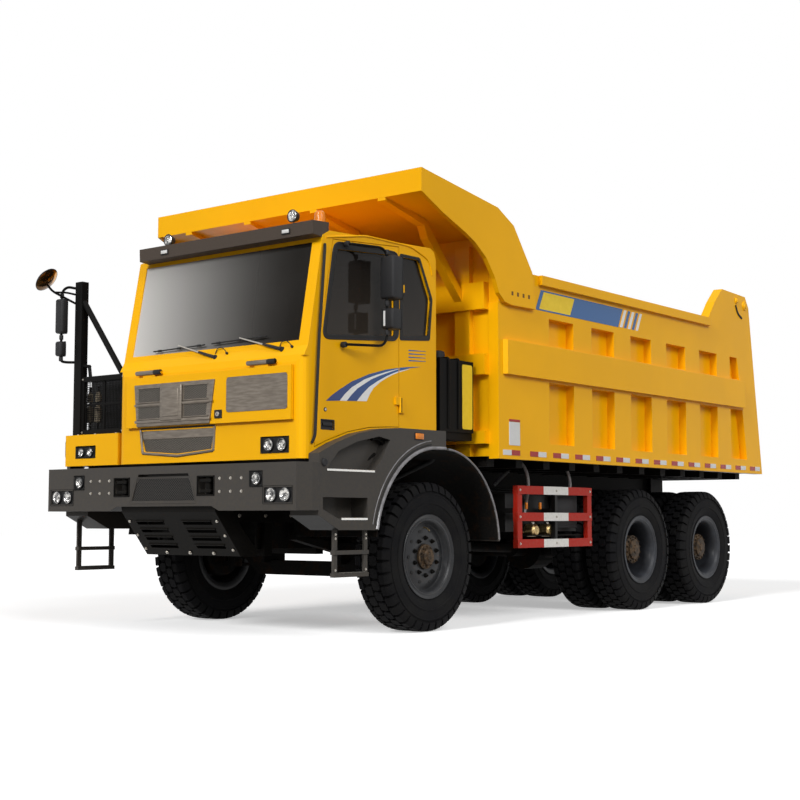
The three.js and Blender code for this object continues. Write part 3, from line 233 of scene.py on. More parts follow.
def pipe(points, radius, sides=10, bend=0.0):
    """A round tube along points, its corners rounded by a bend."""
    points = [Vector(p) for p in points]
    if bend:
        points = rounded(points, bend)
    shape = bmesh.new()
    ring = bmesh.ops.create_circle(shape, cap_ends=True, segments=sides, radius=radius)["verts"]
    facing = Z.copy()
    for i, point in enumerate(points):
        before, after = points[max(i - 1, 0)], points[min(i + 1, len(points) - 1)]
        came = (point - before).normalized() if i else (after - point).normalized()
        goes = (after - point).normalized() if after != point else came
        tangent = (came + goes).normalized()
        turn = facing.rotation_difference(tangent).to_matrix()
        if i:
            edges = list({e for v in ring for e in v.link_edges if e.other_vert(v) in ring})
            made = bmesh.ops.extrude_edge_only(shape, edges=edges)["geom"]
            ring = [v for v in made if isinstance(v, bmesh.types.BMVert)]
            bmesh.ops.translate(shape, vec=point - points[i - 1], verts=ring)
        else:
            bmesh.ops.translate(shape, vec=point, verts=ring)
        bmesh.ops.rotate(shape, cent=point, matrix=turn, verts=ring)
        facing = tangent
    bmesh.ops.contextual_create(shape, geom=ring)
    return shape


def rounded(points, bend):
    """The points of a path with an arc at each corner."""
    path = [points[0]]
    for before, corner, after in zip(points, points[1:], points[2:]):
        reach = min(bend, (before - corner).length / 2, (after - corner).length / 2)
        first = corner + (before - corner).normalized() * reach
        last = corner + (after - corner).normalized() * reach
        for i in range(ARC_STEPS + 1):
            t = i / ARC_STEPS
            path.append(first * (1 - t) ** 2 + corner * 2 * t * (1 - t) + last * t**2)
    return path + [points[-1]]


def moved(shape, by):
    bmesh.ops.translate(shape, vec=by, verts=shape.verts)
    return shape


def turned(shape, degrees, centre, axis):
    turn = Matrix.Rotation(math.radians(degrees), 3, axis)
    bmesh.ops.rotate(shape, cent=centre, matrix=turn, verts=shape.verts)
    return shape


def round_about(shape, count, centre):
    """Copies of a shape evenly round a wheel's axis."""
    bmesh.ops.spin(
        shape, geom=shape.verts[:] + shape.edges[:] + shape.faces[:], cent=centre, axis=Y,
        angle=math.tau * (count - 1) / count, steps=count - 1, use_duplicate=True,
    )
    return shape


def on_side(shape, side):
    """The shape as drawn on the left, or its mirror image on the right."""
    if side < 0:
        bmesh.ops.scale(shape, vec=(1, -1, 1), verts=shape.verts)
    return shape


def grown(span, by):
    """A span with each end moved outwards."""
    return span[0] - by, span[1] + by


def bolt(place, out, size=0.014):
    """A hexagon bolt head with its washer."""
    place, out = Vector(place), Vector(out)
    washer = rod(place - out * 0.002, place + out * size * 0.25, size * 1.35, 12)
    head = rod(place, place + out * size * 0.95, size, 6)
    return joined(washer, head)


def joined(*shapes):
    whole = shapes[0]
    for shape in shapes[1:]:
        take_in(whole, shape)
    return whole


def mesh_of(shape, name):
    mesh = bpy.data.meshes.new(name)
    shape.to_mesh(mesh)
    shape.free()
    return mesh


def take_in(whole, shape):
    carrier = mesh_of(shape, "carrier")
    whole.from_mesh(carrier)
    bpy.data.meshes.remove(carrier)


class Piece:
    """One new piece: shapes in metres ahead of the front axle, each with its finish.

    A right-hand piece is drawn as its left-hand twin, and mirrored shape by shape.
    """

    def __init__(self, name, side=1):
        self.name, self.side = name, side
        self.whole = bmesh.new()
        self.finishes = []

    def add(self, finish, *shapes):
        if finish not in self.finishes:
            self.finishes.append(finish)
        for shape in shapes:
            on_side(shape, self.side)
            bmesh.ops.recalc_face_normals(shape, faces=shape.faces)
            for face in shape.faces:
                face.material_index = self.finishes.index(finish)
                face.smooth = True
            for edge in shape.edges:
                edge.smooth = edge.calc_face_angle(0) < SHARP
            take_in(self.whole, shape)

    def done(self, body, slot=None, replaces=()):
        """Makes the object, in the frame's place, riding on its body."""
        bmesh.ops.translate(self.whole, vec=X * AXLE, verts=self.whole.verts)
        mesh = mesh_of(self.whole, self.name)
        piece = bpy.data.objects.new(self.name, mesh)
        bpy.context.scene.collection.objects.link(piece)
        for finish in self.finishes:
            mesh.materials.append(finish_of(finish))
        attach(piece, body)
        if replaces:
            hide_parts(*replaces)
        return piece


# ---------------------------------------------------------------- shader maths
class Value:
    """A shader socket that can be used in sums."""

    def __init__(self, finish, socket):
        self.finish, self.socket = finish, socket

    def maths(self, operation, first, second=0.5, clamp=False):
        settings = {"operation": operation, "use_clamp": clamp}
        return self.finish.node("ShaderNodeMath", settings, first, second)[0]

    def __add__(self, other):
        return self.maths("ADD", self, other)

    def __mul__(self, other):
        return self.maths("MULTIPLY", self, other)

    def __sub__(self, other):
        return self.maths("SUBTRACT", self, other)

    def __rsub__(self, other):
        return self.maths("SUBTRACT", other, self)

    def __truediv__(self, other):
        return self.maths("DIVIDE", self, other)

    def __gt__(self, other):
        return self.maths("GREATER_THAN", self, other)

    def __lt__(self, other):
        return self.maths("LESS_THAN", self, other)

    def wave(self, pitch):
        """A cosine of this length, from 0 to 1, once every pitch."""
        return self.maths("COSINE", self * (math.tau / pitch)) * 0.5 + 0.5

    def ease(self, low, high):
        """0 below one value and 1 above another, straight between them."""
        spread = (self - low) / (high - low)
        return self.maths("ADD", spread, 0.0, clamp=True)

    __radd__, __rmul__ = __add__, __mul__


class Finish:
    """A procedural material on one Principled shader, patterned on Object coordinates."""

    def __init__(self, name, roughness=0.5, **constants):
        self.material = bpy.data.materials.new(name)
        self.material.use_nodes = True
        self.tree = self.material.node_tree
        self.shader = self.tree.nodes["Principled BSDF"]
        self.at = Value(self, self.node("ShaderNodeTexCoord")["Object"].socket)
        for key, value in {"roughness": roughness, "specular_ior_level": 0.2, **constants}.items():
            self.shader.inputs[key.replace("_", " ").title().replace("Ior", "IOR")].default_value = value

    def node(self, kind, settings=None, *values, **named):
        """Adds a node with its settings and with values or links for its inputs, and gives its outputs."""
        node = self.tree.nodes.new(kind)
        for key, value in (settings or {}).items():
            setattr(node, key, value)
        for key, value in [*enumerate(values), *named.items()]:
            if isinstance(key, str):
                key = key.replace("_", " ").title()
            self.feed(node.inputs[key], value)
        return Outputs(self, node)

    def feed(self, socket, value):
        if isinstance(value, Value):
            self.tree.links.new(value.socket, socket)
        elif isinstance(value, tuple) and len(value) == 3 and socket.type == "RGBA":
            socket.default_value = (*value, 1)
        else:
            socket.default_value = value

    def blend(self, mask, first, second):
        """One colour where the mask is 0 and another where it is 1."""
        node = self.node("ShaderNodeMix", {"data_type": "RGBA", "clamp_factor": True})
        for place, value in ((0, mask), (6, first), (7, second)):
            self.feed(node.node.inputs[place], value)
        return Value(self, node.node.outputs[2])

    def noise(self, scale, detail=2.0, stretch=None, spread=0.5):
        at = self.at
        if stretch:
            at = self.node("ShaderNodeMapping", None, at, Scale=stretch)["Vector"]
        return self.node("ShaderNodeTexNoise", None, at, Scale=scale, Detail=detail, Roughness=spread)[0]

    def along(self):
        """The three Object coordinates."""
        node = self.node("ShaderNodeSeparateXYZ", None, self.at)
        return node[0], node[1], node[2]

    def facing(self):
        """The three parts of the surface's outward direction."""
        geometry = self.node("ShaderNodeNewGeometry")["Normal"]
        node = self.node("ShaderNodeSeparateXYZ", None, geometry)
        return node[0], node[1], node[2]

    def relief(self, height, depth, soften=0.0, strength=1.0):
        """Bumps the surface, its edges softened first where asked."""
        named = {"Height": height, "Distance": depth, "Strength": strength}
        if soften:
            named["Normal"] = self.node("ShaderNodeBevel", {"samples": 4}, Radius=soften)[0]
        self.set("Normal", self.node("ShaderNodeBump", None, **named)[0])

    def set(self, socket, value):
        self.feed(self.shader.inputs[socket], value)


class Outputs:
    """A node's outputs as values, by place or by name."""

    def __init__(self, finish, node):
        self.finish, self.node = finish, node

    def __getitem__(self, key):
        return Value(self.finish, self.node.outputs[key])


# ---------------------------------------------------------------- finishes
FINISHES = {}


def finish_of(name):
    """The material with this name, made the first time it is asked for."""
    if name not in bpy.data.materials:
        FINISHES[name](name)
    return bpy.data.materials[name]


def finish(make):
    """Lists a function as the maker of the finish that it is named for."""
    FINISHES[make.__name__] = make
    return make


# painted shade seen through the holes of pierced sheet
HOLE_SHADE = (0.004, 0.004, 0.004)
UNDERSIDE_TOP = 1.80  # what faces down lower than this gets painted shade, near black
FLOOR_UNDERSIDE = 1.655
ROAD_DUST = (0.30, 0.20, 0.07)
# dark brown painted shade for the canopy's bolt heads
BOLT_HEAD_SHADE = (0.16, 0.060, 0.006)


def shade(colour, factor):
    return tuple(c * factor for c in colour)


def enamel(name, colour, roughness, coat, dust, gloss=0.08, painted_shade_marks=None):
    """Sprayed enamel with slight depth of colour, dust that thickens downwards, painted near-black shade on
    low faces that look down, and orange peel.
    """
    made = Finish(name, roughness, coat_weight=coat, coat_roughness=0.12, specular_ior_level=gloss)
    _, _, height = made.along()
    _, _, upward = made.facing()
    cloud = made.noise(1.3, 3)
    fine = made.noise(38, 4, spread=0.65)
    base = made.blend(cloud.ease(0.35, 0.7), shade(colour, 0.93), colour)
    # painted shade: the bolt heads that a finish marks get a dark brown colour
    if painted_shade_marks:
        base = made.blend(painted_shade_marks(made), base, BOLT_HEAD_SHADE)
    settled = height.ease(2.6, 0.4) * 0.5 + upward.ease(0.5, 0.95) * 0.35
    layer = settled * fine.ease(0.35, 0.75) * dust
    # painted shade: faces that look down, lower than UNDERSIDE_TOP, turn near black
    below = (upward < -0.7) * (height < UNDERSIDE_TOP)
    dusty = made.blend(layer, base, ROAD_DUST)
    made.set("Base Color", made.blend(below, dusty, (0.010, 0.009, 0.008)))
    made.set("Roughness", layer * 0.7 + (cloud * 0.06 + (roughness - 0.03)))
    made.relief(made.noise(210, 1), 0.0006, soften=0.006, strength=0.35)


@finish
def yellow_enamel(name):
    enamel(name, tuple(look().yellow), roughness=0.36, coat=0.09, dust=0.06)


CHEEK_BOLTS_X = [-1.016 - i * 0.099 for i in range(4)]
CHEEK_BOLTS_Z = (3.212, 3.252)
CHEEK_BOLT_HALF = 0.017
CHEEK_Y = 1.74


def cheek_bolts(made):
    """Marks the four bolt heads low on the outer face of each canopy cheek, where shade is painted."""
    along, across, height = made.along()
    low, high = CHEEK_BOLTS_Z
    row = (height > low) * (height < high) * (across * across > CHEEK_Y**2)
    heads = 0.0
    for x in CHEEK_BOLTS_X:
        rear, front = AXLE + x - CHEEK_BOLT_HALF, AXLE + x + CHEEK_BOLT_HALF
        heads = (along > rear) * (along < front) + heads
    return row * heads


@finish
def canopy_enamel(name):
    enamel(name, tuple(look().yellow), roughness=0.36, coat=0.09, dust=0.06, painted_shade_marks=cheek_bolts)


@finish
def grey_enamel(name):
    enamel(name, tuple(look().grey), roughness=0.46, coat=0.10, dust=0.16)


@finish
def black_enamel(name):
    enamel(name, (0.006, 0.0058, 0.0056), roughness=0.5, coat=0.02, dust=0.04, gloss=0.04)


@finish
def floor_steel(name):
    """Worn yellow on top of the body's floor, and painted shade, near black with dusty specks, on all that
    hangs below it.
    """
    made = Finish(name, 0.55, specular_ior_level=0.05)
    _, _, up = made.along()
    worn, sand = made.noise(5, 4), made.noise(50, 4)
    top = made.blend(worn.ease(0.4, 0.65), tuple(look().yellow), (0.30, 0.22, 0.12))
    # painted shade on the underside: near black, flecked with dust
    under = made.blend(sand.ease(0.5, 0.8), (0.009, 0.0085, 0.008), (0.026, 0.020, 0.014))
    made.set("Base Color", made.blend(up < FLOOR_UNDERSIDE, top, under))
    made.relief(sand, 0.001, 0.006)


def mottled(name, roughness, grain, low, high, ease=None, lift=0.0, soften=0.0, stretch=None, **more):
    """Two close colours that one noise blends, and that may lift the surface too."""
    made = Finish(name, roughness, **more)
    noise = made.noise(*grain, stretch=stretch)
    made.set("Base Color", made.blend(noise.ease(*ease) if ease else noise, low, high))
    if lift:
        made.relief(noise, lift, soften)
    return made, noise


def dusted(name, roughness, cloud, ease, low, high, sand, dust, lift, soften=0.0, **more):
    """Two colours that a cloud blends, and dust (low, high, share, colour) that a finer noise settles."""
    made = Finish(name, roughness, **more)
    patches, grit = made.noise(*cloud), made.noise(*sand)
    thin, thick, share, colour = dust
    base = made.blend(patches.ease(*ease), low, high)
    made.set("Base Color", made.blend(grit.ease(thin, thick) * share, base, colour))
    made.relief(grit, lift, soften)
    return made, patches


@finish
def tread_rubber(name):
    made, cloud = dusted(
        name, 0.78, cloud=(5, 3), ease=(0.4, 0.7), low=(0.007, 0.007, 0.008), high=(0.013, 0.0128, 0.0128),
        sand=(130, 4), dust=(0.5, 0.9, 0.2, (0.050, 0.044, 0.038)), lift=0.0012, specular_ior_level=0.06,
    )
    made.set("Roughness", cloud * 0.2 + 0.64)


@finish
def polished_rod(name):
    made, streak = mottled(
        name, 0.16, (40, 2), (0.55, 0.56, 0.58), (0.78, 0.79, 0.80), (0.4, 0.7),
        stretch=(1, 1, 0.04), metallic=1.0,
    )
    made.set("Roughness", streak * 0.14 + 0.08)


def pierced(name, bar, pitch):
    """Sheet pierced with rows of holes set half a step apart; the holes are painted near black as the shade
    seen through them.
    """
    made = Finish(name, 0.42, metallic=0.5)
    _, across, up = made.along()
    rows = up.wave(pitch) + across.wave(pitch)
    shifted = (up + pitch / 2).wave(pitch) + (across + pitch / 2).wave(pitch)
    holes = made.node("ShaderNodeMath", {"operation": "MAXIMUM"}, rows, shifted)[0].ease(1.35, 1.6)
    made.set("Base Color", made.blend(holes, bar, HOLE_SHADE))
    made.set("Metallic", 0.5 - holes * 0.5)
    made.set("Roughness", holes * 0.5 + 0.4)
    made.relief(1 - holes, 0.004)


@finish
def lamp_glass(name):
    """A moulded lens over a bright reflector."""
    made = Finish(name, 0.12, metallic=0.85, coat_weight=1.0, coat_roughness=0.03, specular_ior_level=0.5)
    _, across, up = made.along()
    ribs = across.wave(0.011) * up.wave(0.019)
    patch = made.noise(30, 3).ease(0.44, 0.60)
    made.set("Base Color", made.blend(patch, (0.10, 0.10, 0.10), (0.80, 0.78, 0.74)))
    made.relief(ribs, 0.0022)


def lens(name, colour):
    """Coloured moulded plastic with fine prisms."""
    made = Finish(name, 0.2, coat_weight=0.15, coat_roughness=0.08)
    along, across, up = made.along()
    prisms = (along + across).wave(0.008) * up.wave(0.008)
    made.set("Base Color", made.blend(prisms, shade(colour, 0.7), colour))
    made.relief(prisms, 0.0006)


@finish
def windscreen_glass(name):
    """Dark tinted glass with a painted reflection that grows paler towards the passenger's side and towards
    its foot.
    """
    made = Finish(name, 0.05, ior=1.5, alpha=0.88, specular_ior_level=0.09)
    _, across, up = made.along()
    # painted reflection: pale towards the passenger's side and lower down, with a little noise
    painted_reflection = across.ease(1.35, -0.75)
    painted_reflection = painted_reflection * painted_reflection * (0.86 + up.ease(3.4, 2.5) * 0.14) + made.noise(1.6, 2).ease(0.4, 0.8) * 0.012
    made.set("Base Color", made.blend(painted_reflection, (0.010, 0.008, 0.006), (0.66, 0.645, 0.62)))


@finish
def side_glass(name):
    """Dark smoked glass, a little paler towards its foot."""
    made = Finish(name, 0.05, ior=1.5, alpha=0.84, specular_ior_level=0.16)
    _, _, up = made.along()
    made.set("Base Color", made.blend(up.ease(2.65, 3.4), (0.040, 0.033, 0.026), (0.012, 0.010, 0.009)))


@finish
def black_plastic(name):
    """Grained black moulding."""
    made = Finish(name, 0.55)
    grain = made.node("ShaderNodeTexVoronoi", None, made.at, Scale=260.0)[0]
    made.set("Base Color", made.blend(grain, (0.010, 0.010, 0.011), (0.022, 0.022, 0.023)))
    made.relief(grain, 0.0006)


@finish
def seat_cloth(name):
    """Woven cover: threads over and under, a little worn."""
    made = Finish(name, 0.9, sheen_weight=0.25, sheen_roughness=0.5)
    along, across, up = made.along()
    weft = (along + up).wave(0.006)
    warp = across.wave(0.006)
    weave = weft * warp + (1 - weft) * (1 - warp)
    worn = made.noise(6, 3).ease(0.4, 0.7)
    base = made.blend(weave, (0.018, 0.018, 0.021), (0.055, 0.054, 0.060))
    made.set("Base Color", made.blend(worn * 0.4, base, (0.085, 0.080, 0.080)))
    made.relief(weave, 0.0012)


@finish
def guard_bands(name):
    """Red enamel with a white band across the middle of each bar, and a black post behind it."""
    made = Finish(name, 0.4, coat_weight=0.05, coat_roughness=0.15, specular_ior_level=0.1)
    along, across, up = made.along()
    low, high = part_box("side_guard_left")
    third = (high[0] - low[0]) / 3
    white = (along > low[0] + third) * (along < high[0] - third)
    dust = made.noise(30, 4).ease(0.45, 0.8) * 0.2
    paint = made.blend(white, (0.42, 0.018, 0.008), (0.80, 0.78, 0.74))
    painted = made.blend(dust, paint, (0.20, 0.14, 0.09))
    on_bar = 0.0
    for bar_low in GUARD_BARS:
        on_bar = (up > bar_low) * (up < bar_low + GUARD_BAR_HEIGHT) + on_bar
    back = high[1] - GUARD_BAR_DEPTH
    deep = across.ease(back + 0.002, back - 0.002) + white * (1 - on_bar)
    made.set("Base Color", made.blend(deep, painted, (0.010, 0.0095, 0.009)))
    made.relief(made.noise(200, 1), 0.0004, 0.005)


@finish
def stripe_blue(name):
    made = Finish(name, 0.32, coat_weight=0.3, coat_roughness=0.1)
    along, _, _ = made.along()
    tone = along.ease(AXLE + 1.4, AXLE + 0.3)
    made.set("Base Color", made.blend(tone, (0.026, 0.045, 0.165), (0.018, 0.105, 0.30)))


@finish
def tread_plate(name):
    """Raised bars on worn sheet."""
    made = Finish(name, 0.42, metallic=0.6)
    along, across, _ = made.along()
    bars = (along + across).wave(0.030) * (along - across).wave(0.060)
    worn = made.noise(30, 3)
    base = made.blend(worn.ease(0.4, 0.7), (0.10, 0.095, 0.085), (0.24, 0.225, 0.20))
    made.set("Base Color", base)
    made.relief(bars.ease(0.55, 0.75), 0.0025)


@finish
def arch_lip(name):
    """The arch's edge with a painted highlight, paler than the rest of it."""
    made = Finish(name, 0.36, coat_weight=0.2, coat_roughness=0.2)
    worn = made.noise(14, 3)
    # painted highlight: the lip's pale grey stands for light along the arch's edge
    made.set("Base Color", made.blend(worn.ease(0.35, 0.7), (0.15, 0.145, 0.15), (0.25, 0.245, 0.255)))
    made.relief(made.noise(200, 1), 0.0004)


MOTTLED = {
    "visor_black": dict(
        roughness=0.5, grain=(260, 3), ease=(0.4, 0.65), lift=0.0012, soften=0.006,
        low=(0.044, 0.033, 0.025), high=(0.072, 0.053, 0.040),
    ),
    "steel_bolt": dict(
        roughness=0.34, metallic=0.9, grain=(300, 2), ease=(0.4, 0.7),
        low=(0.36, 0.33, 0.29), high=(0.62, 0.60, 0.55),
    ),
    "grille_grey": dict(
        roughness=0.36, metallic=0.55, grain=(60, 2), stretch=(1, 0.15, 1), ease=(0.35, 0.7),
        lift=0.0004, low=(0.155, 0.132, 0.108), high=(0.225, 0.195, 0.162),
    ),
    "bright_strip": dict(
        roughness=0.25, metallic=0.85, grain=(50, 2), stretch=(0.1, 1, 1),
        low=(0.60, 0.59, 0.56), high=(0.86, 0.85, 0.82),
    ),
    "mirror_glass": dict(
        roughness=0.04, metallic=1.0, grain=(9, 1), low=(0.50, 0.52, 0.55), high=(0.62, 0.64, 0.66)
    ),
    "amber_mirror": dict(  # convex glass with a painted reflection of the yellow deck before it
        roughness=0.10, metallic=0.9, grain=(5, 2), ease=(0.44, 0.52),
        low=(0.14, 0.075, 0.03), high=(0.62, 0.32, 0.09),
    ),
    "rubber_seal": dict(
        roughness=0.6, grain=(200, 2), lift=0.0004, low=(0.008, 0.008, 0.008), high=(0.016, 0.016, 0.016)
    ),
    "stripe_white": dict(
        roughness=0.32, coat_weight=0.3, coat_roughness=0.1, grain=(30, 2),
        low=(0.74, 0.74, 0.72), high=(0.84, 0.84, 0.82),
    ),
    "yellow_label": dict(roughness=0.4, grain=(20, 2), low=(0.80, 0.55, 0.02), high=(0.92, 0.66, 0.05)),
    "brass": dict(
        roughness=0.38, metallic=0.9, grain=(60, 3), ease=(0.4, 0.7),
        low=(0.28, 0.19, 0.08), high=(0.62, 0.47, 0.22),
    ),
    "beige_enamel": dict(
        roughness=0.5, grain=(25, 4), ease=(0.4, 0.8), lift=0.0008,
        low=(0.42, 0.35, 0.25), high=(0.30, 0.24, 0.17),
    ),
    "hose_brown": dict(
        roughness=0.6, grain=(80, 3), ease=(0.35, 0.7), lift=0.0005,
        low=(0.085, 0.030, 0.018), high=(0.13, 0.050, 0.030),
    ),
    "hose_grey": dict(
        roughness=0.6, grain=(80, 3), ease=(0.35, 0.7), lift=0.0005,
        low=(0.30, 0.30, 0.30), high=(0.50, 0.50, 0.49),
    ),
}
DUSTED = {
    "underbody_iron": dict(  # painted castings and pressings, with rust and road dust
        roughness=0.68, specular_ior_level=0.05, cloud=(9, 5), ease=(0.52, 0.7), sand=(60, 4),
        low=(0.007, 0.0066, 0.0062), high=(0.022, 0.012, 0.007),
        dust=(0.5, 0.8, 0.2, (0.045, 0.036, 0.027)), lift=0.002, soften=0.006,
    ),
    "front_rim_enamel": dict(
        roughness=0.42, coat_weight=0.15, coat_roughness=0.25, cloud=(7, 4), ease=(0.35, 0.7),
        sand=(90, 3), low=(0.012, 0.0125, 0.014), high=(0.024, 0.025, 0.028),
        dust=(0.55, 0.8, 0.3, (0.075, 0.062, 0.048)), lift=0.0008,
    ),
    "rear_rim_enamel": dict(
        roughness=0.5, coat_weight=0.1, coat_roughness=0.3, cloud=(7, 4), ease=(0.35, 0.7),
        sand=(90, 3), low=(0.013, 0.014, 0.017), high=(0.030, 0.033, 0.040),
        dust=(0.55, 0.8, 0.3, (0.065, 0.052, 0.038)), lift=0.0008,
    ),
    "hub_rust": dict(  # a machined hub gone brown, greasy towards its bolts
        roughness=0.55, metallic=0.35, cloud=(22, 5), ease=(0.38, 0.62), sand=(140, 3),
        low=(0.018, 0.013, 0.010), high=(0.085, 0.052, 0.028),
        dust=(0.5, 0.75, 0.4, (0.20, 0.15, 0.085)), lift=0.0015,
    ),
}
LENSES = {
    "amber_lens": dict(colour=(0.95, 0.27, 0.01)),
    "red_reflector": dict(colour=(0.44, 0.012, 0.005)),
    "white_reflector": dict(colour=(0.86, 0.86, 0.84)),
}
PIERCED = {
    "grille_mesh": dict(bar=(0.15, 0.135, 0.115), pitch=0.019),
    "bumper_mesh": dict(bar=(0.040, 0.037, 0.034), pitch=0.024),
}
for make, table in ((mottled, MOTTLED), (dusted, DUSTED), (lens, LENSES), (pierced, PIERCED)):
    for name, values in table.items():
        FINISHES[name] = partial(make, **values)


# ---------------------------------------------------------------- what a user may change
class TruckLook(PropertyGroup):
    yellow: FloatVectorProperty(
        name="Body colour", description="Enamel of the cab, deck and tipping body", subtype="COLOR",
        size=3, min=0, max=1, default=(0.945, 0.468, 0.002),
    )
    grey: FloatVectorProperty(
        name="Bumper colour", description="Enamel of the bumper and wheel arches", subtype="COLOR",
        size=3, min=0, max=1, default=(0.056, 0.052, 0.048),
    )
    lug_count: IntProperty(
        name="Tread lugs", description="Blocks round each shoulder of a tyre", min=20, max=60, default=38
    )
    lug_depth: FloatProperty(
        name="Tread depth", description="Height of the tread blocks", unit="LENGTH", subtype="DISTANCE",
        min=0.01, max=0.05, default=0.032,
    )
    wheel_bolts: IntProperty(
        name="Wheel bolts", description="Nuts round each wheel's hub", min=6, max=16, default=10
    )
    lamp_level: FloatProperty(
        name="Key light", description="Strength of the key lamp", min=0, max=10, default=2.3
    )


def look():
    return bpy.context.scene.truck_look


# ---------------------------------------------------------------- tyres and wheels
def tyre_casing(y):
    """A tyre's carcass round a wheel at y, with its tread pared to the bottom of the grooves."""
    base = WHEEL_Z - look().lug_depth
    half = [
        (0.3305, 0.118), (0.3515, 0.150), (0.3735, 0.158), (0.392, 0.152), (0.409, 0.160), (0.446, 0.175),
        (0.478, 0.1800), (0.483, 0.1865), (0.493, 0.1865), (0.498, 0.1805), (0.538, 0.1805),
        (0.568, 0.1775), (0.573, 0.1815), (0.581, 0.1805), (0.586, 0.173), (0.605, 0.168), (0.632, 0.157),
        (base, 0.138), (base + 0.003, 0.06),
    ]
    profile = half + [(r, -along) for r, along in reversed(half)]
    return lathe(profile, (0, y, WHEEL_Z), steps=72, closed=True)


def tread(y):
    """The tread blocks: a shoulder row each side that wraps onto the wall, and two staggered rows between."""
    count, depth = look().lug_count, look().lug_depth
    base, top = WHEEL_Z - depth - 0.012, WHEEL_Z - 0.0015
    pitch = math.tau * top / count
    shoulder_outline = (
        (0.092, base), (0.098, top), (0.150, top - 0.004), (0.171, top - 0.026),
        (0.1865, top - 0.082), (0.150, top - 0.085),
    )
    centre_outline = (
        (-0.38, 0.006), (0.30, 0.006), (0.40, 0.050), (0.30, 0.084), (-0.30, 0.084), (-0.42, 0.040),
    )
    middle_of_wheel = (0, y, WHEEL_Z)
    half_step = 90 / count
    rows = []
    for side in (1, -1):
        outline = [(y + side * out, up) for out, up in shoulder_outline]
        shoulder = moved(plate("x", outline, -pitch * 0.36, pitch * 0.36), Z * WHEEL_Z)
        rows.append(turned(shoulder, side * half_step, middle_of_wheel, "Y"))
        outline = [(pitch * share, y + side * out) for share, out in centre_outline]
        centre = plate("z", outline, WHEEL_Z + base, WHEEL_Z + top)
        rows.append(turned(centre, (side + 2) * half_step, middle_of_wheel, "Y"))
    return [round_about(row, count, middle_of_wheel) for row in rows]


def rim_bolts(count, radius, centre, size, length):
    """Nuts and studs evenly round a wheel's face."""
    x, y, z = centre
    nut = joined(
        rod((x, y, z + radius), (x, y + length * 0.6, z + radius), size, 6),
        rod((x, y, z + radius), (x, y + length, z + radius), size * 0.5, 8),
        rod((x, y - 0.002, z + radius), (x, y + length * 0.12, z + radius), size * 1.3, 12),
    )
    return round_about(nut, count, centre)


def hand_holes(count, radius, centre):
    """Near-black ovals on a wheel's disc: painted shade where the openings through it would be."""
    x, y, z = centre
    hole = rod((x, y - 0.004, z + radius), (x, y + 0.003, z + radius), 0.020, 16)
    about = Matrix.Translation((-x, 0, -z - radius))
    bmesh.ops.scale(hole, vec=(1.0, 1.0, 0.72), space=about, verts=hole.verts)
    return round_about(hole, count, centre)


LOCK_RING = [(0.326, 0.146), (0.339, 0.158), (0.353, 0.155), (0.339, 0.142)]
FRONT_DISC = [
    (0.0, 0.060), (0.112, 0.060), (0.112, 0.108), (0.150, 0.116), (0.205, 0.118), (0.250, 0.108),
    (0.284, 0.088), (0.305, 0.086), (0.317, 0.100), (0.323, 0.124), (0.336, 0.138), (0.350, 0.152),
    (0.372, 0.160), (0.384, 0.166), (0.388, 0.162), (0.384, 0.155), (0.350, 0.146), (0.327, 0.110),
    (0.321, 0.040), (0.321, -0.120), (0.333, -0.146), (0.376, -0.160), (0.382, -0.166), (0.353, -0.168),
    (0.307, -0.150), (0.298, -0.060), (0.240, 0.050), (0.118, 0.050),
]
FRONT_DRUM = [(0.0, -0.17), (0.215, -0.17), (0.235, -0.14), (0.235, 0.0), (0.10, 0.018)]
FRONT_CAP = [
    (0.108, 0.100), (0.116, 0.112), (0.114, 0.130), (0.102, 0.138), (0.084, 0.138), (0.078, 0.146),
    (0.076, 0.164), (0.066, 0.172), (0.048, 0.174), (0.044, 0.184), (0.0, 0.188),
]
REAR_RIM = [
    (0.3792, 0.155), (0.3836, 0.163), (0.3763, 0.166), (0.3531, 0.160), (0.327, 0.146), (0.3154, 0.132),
    (0.3096, 0.110), (0.3023, 0.090), (0.2966, 0.020), (0.2922, -0.10), (0.2864, -0.190), (0.15, -0.200),
    (0.15, -0.215), (0.298, -0.215), (0.3212, -0.200), (0.3212, 0.10), (0.3415, 0.146),
]
REAR_DRUM = [
    (0.0, -0.56), (0.240, -0.56), (0.245, -0.30), (0.245, -0.225), (0.150, -0.205), (0.150, -0.12),
    (0.0, -0.12),
]
REAR_HUB = [
    (0.175, -0.200), (0.178, -0.060), (0.170, -0.035), (0.150, -0.020), (0.148, 0.030), (0.158, 0.036),
    (0.162, 0.052), (0.156, 0.062), (0.118, 0.066), (0.112, 0.088), (0.098, 0.096), (0.050, 0.098),
    (0.044, 0.108), (0.0, 0.110),
]


